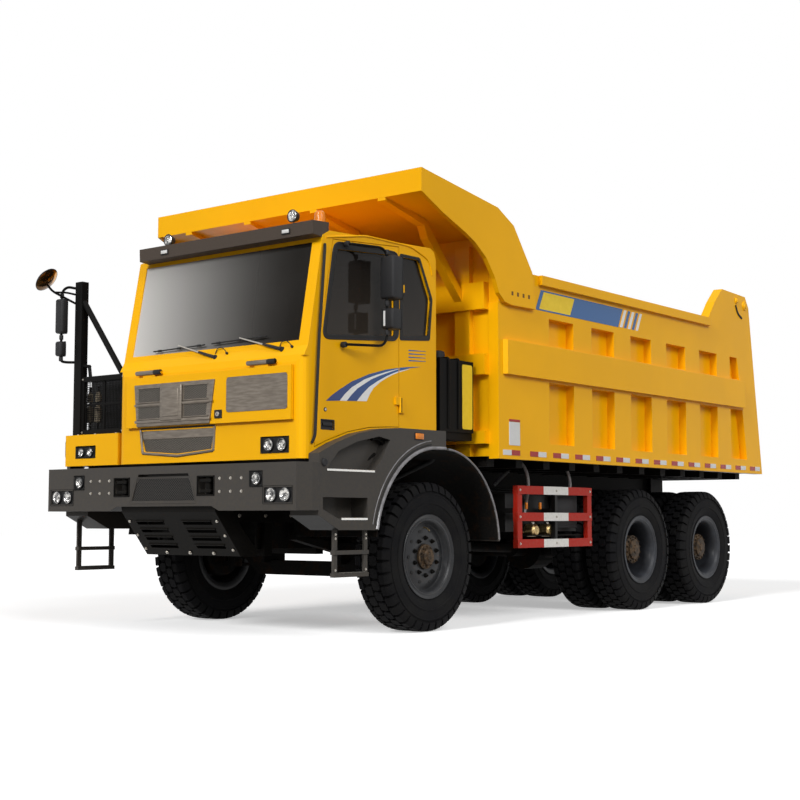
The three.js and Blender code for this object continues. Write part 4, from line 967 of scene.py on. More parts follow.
def front_wheel(name, side):
    tyre = Piece(f"tyre_front_{name}", side)
    tyre.add("tread_rubber", tyre_casing(FRONT_WHEEL_Y), *tread(FRONT_WHEEL_Y))
    tyre.done(f"front_wheel_{name}", "tyre_rubber", [f"front_tyre_{name}"])
    wheel = Piece(f"wheel_front_{name}", side)
    centre = Vector((0, FRONT_WHEEL_Y, WHEEL_Z))
    wheel.add("front_rim_enamel", lathe(FRONT_DISC, centre, steps=64))
    wheel.add("front_rim_enamel", lathe(LOCK_RING, centre, steps=64, closed=True))
    wheel.add("underbody_iron", lathe(FRONT_DRUM, centre, steps=40))
    wheel.add("hub_rust", lathe(FRONT_CAP, centre, steps=32))
    wheel.add("hub_rust", rim_bolts(10, 0.092, centre + Y * 0.137, 0.009, 0.014))
    count = look().wheel_bolts
    wheel.add("underbody_iron", rim_bolts(count, 0.172, centre + Y * 0.116, 0.017, 0.034))
    holes = hand_holes(count, 0.240, centre + Y * 0.110)
    # the hand holes are ovals of painted shade
    wheel.add("rubber_seal", turned(holes, 18, centre, "Y"))
    valve = [centre + Vector(by) for by in ((0, 0.10, 0.27), (0, 0.13, 0.262), (0, 0.165, 0.24))]
    wheel.add("brass", pipe(valve, 0.006, 8))
    wheel.done(f"front_wheel_{name}", "wheel_paint", [f"front_rim_{name}"])


def twin_wheels(axle, name, side):
    body = f"{axle}_wheels_{name}"
    centre = Vector((REAR_AXLES[axle], TWIN_OUTER_Y, WHEEL_Z))
    tyres = Piece(f"tyres_{axle}_{name}", side)
    for y in (TWIN_OUTER_Y, TWIN_OUTER_Y - TWIN_GAP):
        tyres.add("tread_rubber", *[moved(s, X * centre.x) for s in [tyre_casing(y), *tread(y)]])
    tyres.done(body, "tyre_rubber", [f"{axle}_tyres_{name}"])
    wheels = Piece(f"wheels_{axle}_{name}", side)
    inner_rim = [(r, -TWIN_GAP - along) for r, along in REAR_RIM]
    for rim in (REAR_RIM, inner_rim, LOCK_RING):
        wheels.add("rear_rim_enamel", lathe(rim, centre, steps=64, closed=True))
    wheels.add("underbody_iron", lathe(REAR_DRUM, centre, steps=40))
    wheels.add("hub_rust", lathe(REAR_HUB, centre, steps=40))
    wheels.add("hub_rust", rim_bolts(14, 0.140, centre + Y * 0.062, 0.011, 0.020))
    flange = rim_bolts(look().wheel_bolts, 0.215, centre - Y * 0.190, 0.017, 0.05)
    wheels.add("underbody_iron", flange)
    wheels.done(body, "wheel_paint", [f"{axle}_hub_{name}"])


class TRUCK_OT_wheels(Operator):
    """Add the tyres with their tread blocks, and the rims with their hubs and nuts"""

    bl_idname = "truck.wheels"
    bl_label = "Wheels"

    def execute(self, context):
        for name, side in SIDES.items():
            front_wheel(name, side)
            for axle in REAR_AXLES:
                twin_wheels(axle, name, side)
        return {"FINISHED"}


# ---------------------------------------------------------------- lamps
def lamp_face(piece, face, y, z, count):
    """A row of square lamps in one black frame on a face that looks ahead."""
    low, high = y
    border = 0.012
    outline = [(low, z[0]), (high, z[0]), (high, z[1]), (low, z[1])]
    piece.add("rubber_seal", sink_front(plate("x", outline, face - 0.035, face + 0.006), border, 0.018))
    width = (high - low - border * 2) / count
    radius = min(width, z[1] - z[0] - border * 2) * 0.44
    bowl = [
        (0.0, -0.004), (radius * 0.30, -0.003), (radius * 0.34, -0.010), (radius * 0.78, -0.006),
        (radius * 0.94, 0.004), (radius, 0.004), (radius, -0.014),
    ]
    rim = [(radius, 0.008), (radius * 1.10, 0.006), (radius * 1.12, -0.012), (radius, -0.012)]
    for i in range(count):
        place = (face, low + border + width * (i + 0.5), (z[0] + z[1]) / 2)
        piece.add("lamp_glass", lathe(bowl, place, X, 28))
        piece.add("black_plastic", lathe(rim, place, X, 28, closed=True))


# ---------------------------------------------------------------- front bumper
def shrunk(outline, by):
    """An outline drawn in towards its middle by about a set width."""
    cy = sum(a for a, _ in outline) / len(outline)
    cz = sum(b for _, b in outline) / len(outline)
    along_y = 1 - by / max(abs(a - cy) for a, _ in outline)
    along_z = 1 - by / max(abs(b - cz) for _, b in outline)
    return [(cy + (a - cy) * along_y, cz + (b - cz) * along_z) for a, b in outline]


class TRUCK_OT_bumper_fittings(Operator):
    """Add the bumper's grille, tow pins, bolts and lamps"""

    bl_idname = "truck.bumper_fittings"
    bl_label = "Bumper fittings"

    def execute(self, context):
        piece = Piece("bumper_fittings")
        face = BUMPER_FACE
        outline = [
            (-0.425, 1.165), (0.425, 1.165), (0.378, 1.335),
            (0.330, 1.402), (-0.330, 1.402), (-0.378, 1.335),
        ]
        border, sunk = 0.020, 0.012
        surround = plate("x", outline, face - 0.03, face + 0.004)
        mesh = plate("x", shrunk(outline, border), face - 0.028, face + 0.0045 - sunk)
        piece.add("grey_enamel", sink_front(surround, border, sunk))
        piece.add("bumper_mesh", mesh)
        for side in SIDES.values():
            for row in (1.375, 1.263):
                for y in (0.71, 0.84, 0.967):
                    piece.add("steel_bolt", bolt((face, side * y, row), X, 0.010))
            pin = rod((face - 0.045, 0.54, 1.235), (face - 0.045, 0.54, 1.395), 0.032, 18)
            lugs = [
                block((face - 0.085, face + 0.008), (0.475, 0.605), z, 0.006)
                for z in ((1.345, 1.375), (1.255, 1.285))
            ]
            lips = [
                block((face - 0.01, face + 0.007), y, z, 0.003)
                for y, z in (
                    ((0.432, 0.648), (1.390, 1.402)), ((0.432, 0.648), (1.228, 1.240)),
                    ((0.432, 0.445), (1.228, 1.402)), ((0.635, 0.648), (1.228, 1.402)),
                )
            ]
            piece.add("black_enamel", *[on_side(s, side) for s in [pin, *lugs, *lips]])
            lows, doubles = ((1.06, 1.21), (1.215, 1.547))
            if side < 0:
                lows, doubles = ((-1.21, -1.06), (-1.547, -1.215))
            lamp_face(piece, face, lows, (1.298, 1.432), 1)
            lamp_face(piece, face, doubles, (1.155, 1.305), 2)
        piece.done("chassis", "black_paint")
        return {"FINISHED"}


# ---------------------------------------------------------------- cab front
FLAP_HINGE_Z = 2.355


class TRUCK_OT_front_flap_fittings(Operator):
    """Add the grille, blank plate, lock and hinges of the front flap"""

    bl_idname = "truck.front_flap_fittings"
    bl_label = "Front flap fittings"

    def execute(self, context):
        piece = Piece("front_flap_fittings")
        face = FLAP_FACE
        outline = [(-0.488, 1.862), (0.450, 1.862), (0.510, 2.245), (-0.525, 2.245)]
        piece.add("grille_grey", plate("x", outline, face - 0.004, face + 0.016, 0.004))
        for y in ((-0.460, -0.180), (0.140, 0.425)):
            for z in ((2.085, 2.205), (1.935, 2.040)):
                lean = 0.06 * (2.2 - z[0]) if y[0] > 0 else 0  # the right-hand cells narrow downwards
                cell = [(y[0], z[0]), (y[1] - lean, z[0]), (y[1], z[1]), (y[0], z[1])]
                piece.add("grille_mesh", plate("x", cell, face + 0.010, face + 0.0175))
                for bar in ((z[0] - 0.012, z[0]), (z[1], z[1] + 0.008)):
                    ledge = block((face + 0.010, face + 0.026), grown(y, 0.015), bar, 0.003)
                    piece.add("grille_grey", ledge)
        middle_bar = block((face + 0.010, face + 0.030), (-0.505, 0.495), (2.047, 2.068), 0.005, 2)
        low_bar = block((face + 0.010, face + 0.030), (-0.500, 0.470), (1.895, 1.920), 0.005, 2)
        centre_plate = block((face + 0.008, face + 0.040), (-0.160, 0.120), (1.905, 2.225), 0.012, 3)
        inner = block((face + 0.030, face + 0.047), (-0.125, 0.085), (1.940, 2.190), 0.008, 3)
        piece.add("grille_grey", middle_bar, low_bar, centre_plate, inner)
        blank = block((face - 0.003, face + 0.005), (0.648, 1.362), (1.946, 2.250), 0.0)
        round_plate(blank, 0, 0.03, 5)
        bevel(blank, 0.0015)
        piece.add("grille_grey", blank)
        lock_place = Vector((face, 0.552, 1.937))
        lock = block((face - 0.002, face + 0.010), (0.507, 0.597), (1.900, 1.974), 0.003)
        barrel = rod(lock_place + X * 0.008, lock_place + X * 0.018, 0.020, 20, round_by=0.002)
        slot = block((face + 0.016, face + 0.0205), (0.549, 0.555), (1.925, 1.949), 0)
        piece.add("rubber_seal", lock, slot)
        piece.add("steel_bolt", barrel)
        piece.done("front_flap", "yellow_paint")
        hinges = Piece("front_flap_hinges")
        for y in (-0.52, 0.89):
            sleeve = rod((1.792, y, FLAP_HINGE_Z), (1.792, y + 0.24, FLAP_HINGE_Z), 0.021, 16, round_by=0.003)
            foot, tip = (1.790, y + 0.235, FLAP_HINGE_Z), (1.790, y + 0.32, FLAP_HINGE_Z)
            hinges.add("grille_grey", sleeve)
            hinges.add("rubber_seal", rod(foot, tip, 0.024, 16, round_by=0.004))
        hinges.done("chassis", "black_paint")
        return {"FINISHED"}


def wiper(piece, pivot, elbow, tips):
    """A wiper: boss, tapered arm and a blade between two tips."""
    pivot, elbow = Vector(pivot), Vector(elbow)
    first, last = (Vector(tip) for tip in tips)
    piece.add("black_plastic", rod(pivot - X * 0.03, pivot + X * 0.028, 0.022, 16, round_by=0.003))
    reach = elbow - pivot
    arm = rod(pivot + X * 0.022, pivot + reach * 0.42 + X * 0.026, 0.016, 8, end_radius=0.011)
    thin = rod(pivot + reach * 0.40 + X * 0.026, elbow + X * 0.020, 0.008, 8, end_radius=0.006)
    piece.add("black_plastic", arm)
    piece.add("steel_bolt", thin)
    along = (last - first).normalized()
    piece.add("rubber_seal", rod(first + X * 0.014, last + X * 0.014, 0.0065, 8))
    for share in (0.12, 0.5, 0.88):
        place = first + (last - first) * share + X * 0.012
        piece.add("black_plastic", rod(place - along * 0.02, place + along * 0.02, 0.011, 8))


class TRUCK_OT_cab_front(Operator):
    """Add the lower grille with its rubber strip, headlamps, wipers and washer jets"""

    bl_idname = "truck.cab_front"
    bl_label = "Cab front"

    def execute(self, context):
        piece = Piece("cab_front_fittings")
        face = CAB_FACE
        rim = [(-0.488, 1.838), (-0.455, 1.625), (0.0, 1.590), (0.455, 1.625), (0.470, 1.838)]
        shelf = [(-0.478, 1.838), (-0.468, 1.748), (0.452, 1.748), (0.462, 1.838)]
        piece.add("grille_grey", plate("x", shelf, face - 0.038, face - 0.004, 0.003))
        mesh = [(-0.462, 1.752), (-0.440, 1.640), (0.0, 1.610), (0.440, 1.640), (0.452, 1.752)]
        piece.add("grille_mesh", plate("x", mesh, face - 0.038, face - 0.010))
        for (a, b), (c, d) in zip(rim, rim[1:]):
            piece.add("grille_grey", rod((face, a, b), (face, c, d), 0.013, 10))
        piece.add("rubber_seal", block((face - 0.03, face + 0.004), (-0.49, 0.47), (1.836, 1.852), 0.002))
        lamp_face(piece, face, (1.024, 1.348), (1.582, 1.723), 2)
        for pivot, elbow, tips in (
            ((1.700, 0.421, 2.449), (1.686, -0.064, 2.592), [(1.694, -0.390, 2.558), (1.690, 0.275, 2.572)]),
            ((1.700, 1.217, 2.462), (1.686, 0.707, 2.600), [(1.690, 0.362, 2.575), (1.688, 1.027, 2.590)]),
        ):
            wiper(piece, pivot, elbow, tips)
        for y in (0.56, 1.33):
            jet = [
                (1.712, y, 2.475), (1.716, y - 0.05, 2.535),
                (1.706, y - 0.13, 2.525), (1.704, y - 0.15, 2.48),
            ]
            piece.add("black_plastic", rod((1.70, y, 2.47), (1.722, y, 2.48), 0.012, 10, round_by=0.002))
            piece.add("rubber_seal", pipe(jet, 0.004, 6, 0.05))
        piece.done("chassis", "black_paint")
        return {"FINISHED"}


# ---------------------------------------------------------------- mirrors
def mirror_head(piece, x, y, z):
    """A rounded housing with its glass facing back."""
    piece.add("black_plastic", block(x, y, z, 0.022, 3))
    piece.add("mirror_glass", block((x[0] - 0.003, x[0] + 0.01), grown(y, -0.014), grown(z, -0.018), 0.002))
    band = block((x[0] + 0.012, x[0] + 0.022), grown(y, 0.002), grown(z, 0.002), 0.008, 2)
    piece.add("rubber_seal", band)


def clamp(piece, place, axis=Z, radius=0.020):
    place = Vector(place)
    piece.add("black_plastic", rod(place - axis * 0.022, place + axis * 0.022, radius, 14, round_by=0.004))


class TRUCK_OT_mirrors(Operator):
    """Model the mirrors of both sides, with the round front mirror on its long arm"""

    bl_idname = "truck.mirrors"
    bl_label = "Mirrors"

    def execute(self, context):
        left = Piece("mirrors_left")
        stem_x, stem_y = 0.838, 1.655
        top = [
            (1.234, 1.502, 3.400), (1.234, 1.560, 3.400), (0.90, stem_y - 0.01, 3.405),
            (stem_x, stem_y, 3.36), (stem_x, stem_y, 2.62),
        ]
        low = [
            (1.272, 1.502, 2.520), (1.272, 1.560, 2.520), (0.90, stem_y, 2.535), (stem_x, stem_y, 2.60),
            (stem_x, stem_y, 2.80),
        ]
        left.add("black_enamel", pipe(top, 0.012, 10, 0.06), pipe(low, 0.012, 10, 0.06))
        mirror_head(left, (0.705, 0.855), (1.585, 1.742), (2.960, 3.342))
        mirror_head(left, (0.720, 0.860), (1.600, 1.740), (2.690, 2.872))
        left.add("white_reflector", block((0.855, 0.865), (1.632, 1.652), (2.715, 2.850), 0.003))
        for place in ((1.234, 1.530, 3.400), (1.272, 1.530, 2.520)):
            clamp(left, place, Y, 0.026)
        for place in ((stem_x, stem_y, 3.372), (stem_x, stem_y, 2.915), (stem_x, stem_y, 2.66)):
            clamp(left, place)
        left.done("door_left", "black_paint", ["mirror_left"])
        right = Piece("mirrors_right")
        post, out = 1.660, -1.570
        stem_x, stem_y = 1.765, -1.650
        top = [
            (post, -1.532, 3.270), (post, out, 3.270), (1.72, -1.63, 3.285), (stem_x, stem_y, 3.235),
            (stem_x, stem_y, 2.62),
        ]
        low = [
            (stem_x, stem_y, 2.64), (stem_x, stem_y, 2.552), (1.72, -1.63, 2.545), (post, out, 2.545),
            (post, -1.532, 2.545),
        ]
        long_arm = [(post, -1.532, 3.120), (post, out, 3.120), (1.880, -1.658, 3.225), (1.972, -1.658, 3.315)]
        strut = [(post, -1.532, 3.200), (1.74, -1.62, 3.225), (1.86, -1.655, 3.215)]
        for points, radius, sides, bend in (
            (top, 0.013, 10, 0.05), (low, 0.013, 10, 0.04),
            (long_arm, 0.011, 10, 0.04), (strut, 0.010, 8, 0.03),
        ):
            right.add("black_enamel", pipe(points, radius, sides, bend))
        mirror_head(right, (stem_x - 0.042, stem_x + 0.042), (stem_y - 0.055, stem_y + 0.055), (2.822, 3.160))
        mirror_head(right, (stem_x - 0.035, stem_x + 0.045), (stem_y - 0.045, stem_y + 0.045), (2.600, 2.745))
        for z in (3.19, 2.785, 2.575):
            clamp(right, (stem_x, stem_y, z))
        centre, facing = Vector((1.970, -1.641, 3.330)), Vector((-0.24, 0.73, -0.64)).normalized()
        shell = [
            (0.0, -0.018), (0.060, -0.020), (0.108, -0.010), (0.126, 0.004), (0.129, 0.012),
            (0.124, 0.016),
        ]
        dome = [(0.124, 0.014), (0.110, 0.021), (0.080, 0.030), (0.045, 0.036), (0.0, 0.038)]
        for outline, name in ((shell, "black_plastic"), (dome, "amber_mirror")):
            shape = lathe(outline, (0, 0, 0), Y, 32)
            bmesh.ops.rotate(shape, matrix=Y.rotation_difference(facing).to_matrix(), verts=shape.verts)
            right.add(name, moved(shape, centre))
        right.done("chassis", "black_paint", ["mirror_right"])
        return {"FINISHED"}


# ---------------------------------------------------------------- right deck
class TRUCK_OT_deck_fittings(Operator):
    """Add the deck's lamps, mesh panel, canisters, hand loop and bolts"""

    bl_idname = "truck.deck_fittings"
    bl_label = "Deck fittings"

    def execute(self, context):
        piece = Piece("deck_fittings")
        lamp_face(piece, 1.750, (-1.415, -1.135), (1.605, 1.716), 2)
        wire, pitch = 0.0032, 0.021
        for i in range(26):
            y = -1.390 + i * pitch
            piece.add("black_enamel", rod((1.661, y, 1.874), (1.661, y, 2.346), wire, 5))
        for i in range(22):
            z = 1.890 + i * pitch
            piece.add("black_enamel", rod((1.659, -1.406, z), (1.659, -0.854, z), wire, 5))
        piece.add("black_plastic", block((1.470, 1.488), (-1.520, -0.830), (1.832, 2.380), 0.006, 2))
        for y in (-1.455, -1.335):
            for low, high, radius in ((1.955, 2.125, 0.036), (2.150, 2.250, 0.030)):
                canister = [
                    (0.0, low), (radius * 0.8, low), (radius, low + 0.01),
                    (radius, high - 0.03), (radius * 0.5, high), (0.0, high),
                ]
                piece.add("beige_enamel", lathe(canister, (1.555, y, 0), Z, 20))
            piece.add("black_enamel", rod((1.555, y, 1.832), (1.555, y, 2.30), 0.010, 8))
        grab = [
            (1.690, -1.562, 1.800), (1.690, -1.632, 1.790), (1.690, -1.632, 1.610),
            (1.690, -1.562, 1.600),
        ]
        piece.add("black_enamel", pipe(grab, 0.012, 10, 0.04))
        for y in (-1.418, -0.838):
            for z in (1.855, 2.365):
                piece.add("steel_bolt", bolt((1.680, y, z), X, 0.008))
        for y in (-0.90, -1.20, -1.45):
            piece.add("steel_bolt", bolt((1.700, y, 1.828), Z, 0.010))
        cleaner_low, cleaner_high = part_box("air_cleaner")
        for z in (cleaner_low.z + 0.12, cleaner_high.z - 0.14):
            band = [(0.209, z), (0.214, z), (0.214, z + 0.035), (0.209, z + 0.035)]
            piece.add("steel_bolt", lathe(band, (0.900, -1.180, 0), Z, 40, closed=True))
        piece.add("tread_plate", block((-0.06, 1.600), (-1.545, -0.840), (1.8275, 1.831), 0.001))
        piece.done("chassis", "black_paint")
        return {"FINISHED"}


# ---------------------------------------------------------------- wheel arches and steps
ARCH_FRONT_X, ARCH_REAR_X, ARCH_Z = 0.050, -0.070, 0.785


def arch_path(radius, y, first=10, last=176, steps=30):
    """Points along the wheel arch: its front half turns about one centre and its rear half about another."""
    path = []
    for i in range(steps + 1):
        angle = math.radians(first + (last - first) * i / steps)
        centre = ARCH_FRONT_X if angle < math.pi / 2 else ARCH_REAR_X
        path.append((centre + radius * math.cos(angle), y, ARCH_Z + radius * math.sin(angle)))
    return path


def fender_fittings(name, side):
    piece = Piece(f"fender_fittings_{name}", side)
    face = FENDER_SIDE
    front = arch_path(0.893, face, 10, 90, 16)
    outer = arch_path(0.958, face - 0.002, 12, 84, 16)
    rear = arch_path(0.890, face - 0.012, 94, 177, 20)
    # the arch's lips carry a painted highlight
    piece.add("arch_lip", pipe(front, 0.016, 8))
    piece.add("arch_lip", pipe(outer, 0.006, 6))
    piece.add("arch_lip", pipe(rear, 0.011, 8))
    # painted shade: a near-black tube lies in the groove between the arch's lips
    groove = arch_path(0.925, face - 0.010, 12, 84, 16)
    piece.add("rubber_seal", pipe(groove, 0.0145, 6))
    for low, high, top in ((0.965, 1.590, 1.440), (1.062, 1.405, 1.031)):
        strip = block((low, high), (face - 0.150, face + 0.003), (top + 0.0005, top + 0.006), 0.001)
        nose = block((low, high), (face - 0.006, face + 0.006), (top - 0.010, top + 0.009), 0.003)
        piece.add("tread_plate", strip)
        piece.add("bright_strip", nose)
    frame = block((0.268, 0.400), (face - 0.004, face + 0.007), (1.738, 1.806), 0.004)
    amber = block((0.276, 0.392), (face + 0.002, face + 0.018), (1.745, 1.799), 0.008, 2)
    piece.add("rubber_seal", frame)
    piece.add("amber_lens", amber)
    # painted shade: a near-black sheet lines the arch and a near-black wall closes it inside
    vault = arch_path(0.872, 0, 6, 177) + arch_path(0.864, 0, 6, 177)[::-1]
    arch_shade_sheet = plate("y", [(x, z) for x, _, z in vault], 0.670, face - 0.016)
    arch_shade_wall = plate("y", [(x, z) for x, _, z in arch_path(0.868, 0, 39.4, 140.6, 20)], 0.660, 0.671)
    piece.add("underbody_iron", arch_shade_sheet, arch_shade_wall)
    back = [
        (1.600, 1.440), (0.960, 1.440), (0.860, 1.545), (0.745, 1.720), (0.900, 1.745), (1.190, 1.690),
        (1.440, 1.600),
    ]
    piece.add("grey_enamel", plate("y", back, face - 0.116, face - 0.108))
    cap = [(0.0, 0.018), (0.026, 0.018), (0.034, 0.012), (0.036, 0.0), (0.036, -0.004)]
    piece.add("black_plastic", lathe(cap, (1.626, face, 1.500), Y, 24))
    pipes = [
        (0.900, 1.53, 1.735), (0.830, 1.545, 1.735), (0.760, 1.55, 1.700), (0.745, 1.55, 1.640),
        (0.800, 1.53, 1.560),
    ]
    piece.add("black_enamel", pipe(pipes, 0.022, 10, 0.05))
    drain = [(0.99, 1.48, 1.450), (0.93, 1.50, 1.540), (0.84, 1.52, 1.600)]
    piece.add("black_enamel", pipe(drain, 0.013, 8, 0.03))
    ladder = LADDERS[name]
    for x in (ladder[0] + 0.025, ladder[1] - 0.025):
        for z in (0.90, 0.865, 0.600, 0.560):
            piece.add("steel_bolt", bolt((x, 1.550, z), Y, 0.008))
    rung = block((ladder[0] + 0.05, ladder[1] - 0.05), (1.512, 1.568), (0.5755, 0.580), 0.001)
    piece.add("tread_plate", rung)
    piece.done("chassis", "grey_paint")


class TRUCK_OT_fender_fittings(Operator):
    """Add the wheel arches' lips, step strips, side markers and pipes"""

    bl_idname = "truck.fender_fittings"
    bl_label = "Fender fittings"

    def execute(self, context):
        for name, side in SIDES.items():
            fender_fittings(name, side)
        return {"FINISHED"}


# ---------------------------------------------------------------- cab side and roof
PAINT_ON_CAB = (CAB_SIDE - 0.002, CAB_SIDE + 0.0015)
SEAL_DEPTH = (1.490, 1.504)
SWEEP_CURVES = (  # the edges between the sweep's bands, from its foot to its tail
    [
        (1.472, 2.025), (1.400, 2.075), (1.301, 2.131), (1.133, 2.215),
        (0.899, 2.297), (0.657, 2.358), (0.480, 2.388),
    ],
    [
        (1.293, 2.038), (1.225, 2.100), (1.133, 2.165), (0.962, 2.246),
        (0.800, 2.298), (0.657, 2.337), (0.480, 2.380),
    ],
    [
        (1.200, 2.042), (1.130, 2.105), (1.056, 2.160), (0.867, 2.254),
        (0.760, 2.292), (0.640, 2.329), (0.480, 2.376),
    ],
    [
        (1.064, 2.050), (0.985, 2.120), (0.898, 2.185), (0.780, 2.245),
        (0.657, 2.297), (0.570, 2.329), (0.480, 2.358),
    ],
    [
        (0.930, 2.057), (0.885, 2.125), (0.835, 2.180), (0.740, 2.240),
        (0.640, 2.287), (0.565, 2.318), (0.480, 2.347),
    ],
)
SWEEP_BANDS = ("stripe_blue", "stripe_white", "stripe_blue", "stripe_white")
SWEEP_TAIL = (
    ("stripe_blue", [(0.464, 2.391), (0.280, 2.414), (0.140, 2.425), (0.300, 2.402), (0.464, 2.362)]),
    ("stripe_white", [(0.464, 2.361), (0.340, 2.388), (0.300, 2.394), (0.390, 2.370), (0.464, 2.350)]),
)


def sweep_bands(piece):
    """The door's painted bands, side by side between the sweep's curves."""
    for finish_name, upper, lower in zip(SWEEP_BANDS, SWEEP_CURVES, SWEEP_CURVES[1:]):
        for a, b, c, d in zip(upper, upper[1:], lower[1:], lower):
            piece.add(finish_name, plate("y", [a, b, c, d], *PAINT_ON_CAB))


class TRUCK_OT_door_fittings(Operator):
    """Add the door's handle, lock, stripes, window seal and grab rail"""

    bl_idname = "truck.door_fittings"
    bl_label = "Door fittings"

    def execute(self, context):
        piece = Piece("door_fittings")
        sweep_bands(piece)
        cup = block((1.368, 1.527), (1.479, 1.490), (1.788, 1.862), 0.004)
        surround = block((1.360, 1.535), (1.496, 1.503), (1.858, 1.870), 0.002)
        under = block((1.360, 1.535), (1.496, 1.503), (1.780, 1.792), 0.002)
        ends = [block(x, (1.496, 1.503), (1.785, 1.865), 0.002) for x in ((1.358, 1.370), (1.525, 1.537))]
        grip = block((1.385, 1.510), (1.488, 1.505), (1.812, 1.842), 0.006, 2)
        piece.add("black_plastic", cup, surround, under, *ends, grip)
        lock = Vector((1.480, 1.502, 1.952))
        collar = rod(lock - Y * 0.004, lock + Y * 0.002, 0.019, 18, round_by=0.002)
        piece.add("black_plastic", collar)
        piece.add("steel_bolt", rod(lock, lock + Y * 0.005, 0.011, 14))
        window = [(0.545, 2.668), (1.475, 2.592), (1.335, 3.345), (0.545, 3.405)]
        border = [(0.482, 2.636), (1.521, 2.552), (1.375, 3.405), (0.482, 3.440)]
        inner = round_corners(window, 0.030)
        piece.add("rubber_seal", frame_plate("y", round_corners(border, 0.090), inner, *SEAL_DEPTH))
        lip = [(x, 1.503, z) for x, z in round_corners(border, 0.090, 6)]
        piece.add("black_plastic", pipe([*lip, lip[0]], 0.007, 8))
        grab = [
            (1.500, 1.506, 3.360), (1.526, 1.530, 3.320), (1.594, 1.530, 2.550), (1.640, 1.530, 1.720),
            (1.655, 1.506, 1.660),
        ]
        piece.add("rubber_seal", pipe(grab, 0.013, 10, 0.05))
        for z in (2.05, 3.15):
            foot, tip = (0.464, 1.514, z - 0.066), (0.464, 1.514, z + 0.066)
            piece.add("black_enamel", rod(foot, tip, 0.0145, 12, round_by=0.002))
        piece.done("door_left", "yellow_paint")
        return {"FINISHED"}


def work_lamp(piece, place):
    """A round black lamp with a bright lens and its foot."""
    place = Vector(place)
    body = [
        (0.0, -0.075), (0.022, -0.075), (0.042, -0.055), (0.055, -0.010), (0.058, 0.0), (0.052, 0.004),
        (0.050, 0.0),
    ]
    glass = [(0.051, -0.001), (0.040, 0.006), (0.0, 0.010)]
    piece.add("black_plastic", lathe(body, place, X, 28))
    piece.add("lamp_glass", lathe(glass, place, X, 28))
    back = place - X * 0.03
    piece.add("black_plastic", rod(back - Z * 0.055, back - Z * 0.080, 0.014, 10))
    x, y, z = place
    foot = block((x - 0.07, x + 0.01), (y - 0.04, y + 0.04), (z - 0.098, z - 0.078), 0.004)
    piece.add("black_plastic", foot)


class TRUCK_OT_roof_fittings(Operator):
    """Add the visor's marker lamps, the two work lamps, the beacon and the cab's rear stripe"""

    bl_idname = "truck.roof_fittings"
    bl_label = "Roof fittings"

    def execute(self, context):
        piece = Piece("roof_fittings")
        for y in (-0.330, 1.189):
            housing = block((1.640, 1.652), (y - 0.048, y + 0.048), (3.462, 3.510), 0.003)
            marker = block((1.648, 1.658), (y - 0.040, y + 0.040), (3.470, 3.502), 0.005, 2)
            piece.add("black_plastic", housing)
            piece.add("white_reflector", marker)
        work_lamp(piece, (1.500, -0.446, 3.635))
        work_lamp(piece, (1.500, 1.126, 3.655))
        beacon = [(0.0, 0.105), (0.030, 0.103), (0.044, 0.090), (0.050, 0.060), (0.052, 0.0), (0.0, 0.0)]
        base = [(0.0, 0.0), (0.062, 0.0), (0.064, -0.012), (0.058, -0.040), (0.0, -0.040)]
        place = Vector((1.330, 1.300, ROOF_Z + 0.040))
        piece.add("amber_lens", lathe(beacon, place, Z, 28))
        piece.add("black_plastic", lathe(base, place, Z, 28))
        gutter = [
            (1.480, 1.502, 3.425), (0.95, 1.502, 3.520), (0.30, 1.502, 3.525), (0.02, 1.502, 3.440),
            (-0.03, 1.502, 3.30),
        ]
        piece.add("yellow_enamel", pipe(gutter, 0.009, 8, 0.08))
        for z in (2.462, 2.493, 2.524, 2.555):
            ribbon = [(0.330, z), (0.330, z + 0.012), (0.070, z + 0.022), (0.070, z + 0.018)]
            piece.add("stripe_blue", plate("y", ribbon, *PAINT_ON_CAB))
        quarter = [(0.420, 2.680), (0.420, 3.408), (0.180, 3.414), (0.000, 3.070), (0.040, 2.725)]
        border = [(0.462, 2.640), (0.462, 3.436), (0.160, 3.440), (-0.032, 3.075), (0.010, 2.680)]
        rim = frame_plate("y", round_corners(border, 0.025), round_corners(quarter, 0.020), *SEAL_DEPTH)
        piece.add("rubber_seal", rim)
        for finish_name, outline in SWEEP_TAIL:
            piece.add(finish_name, plate("y", outline, *PAINT_ON_CAB))
        piece.done("chassis", "yellow_paint")
        return {"FINISHED"}


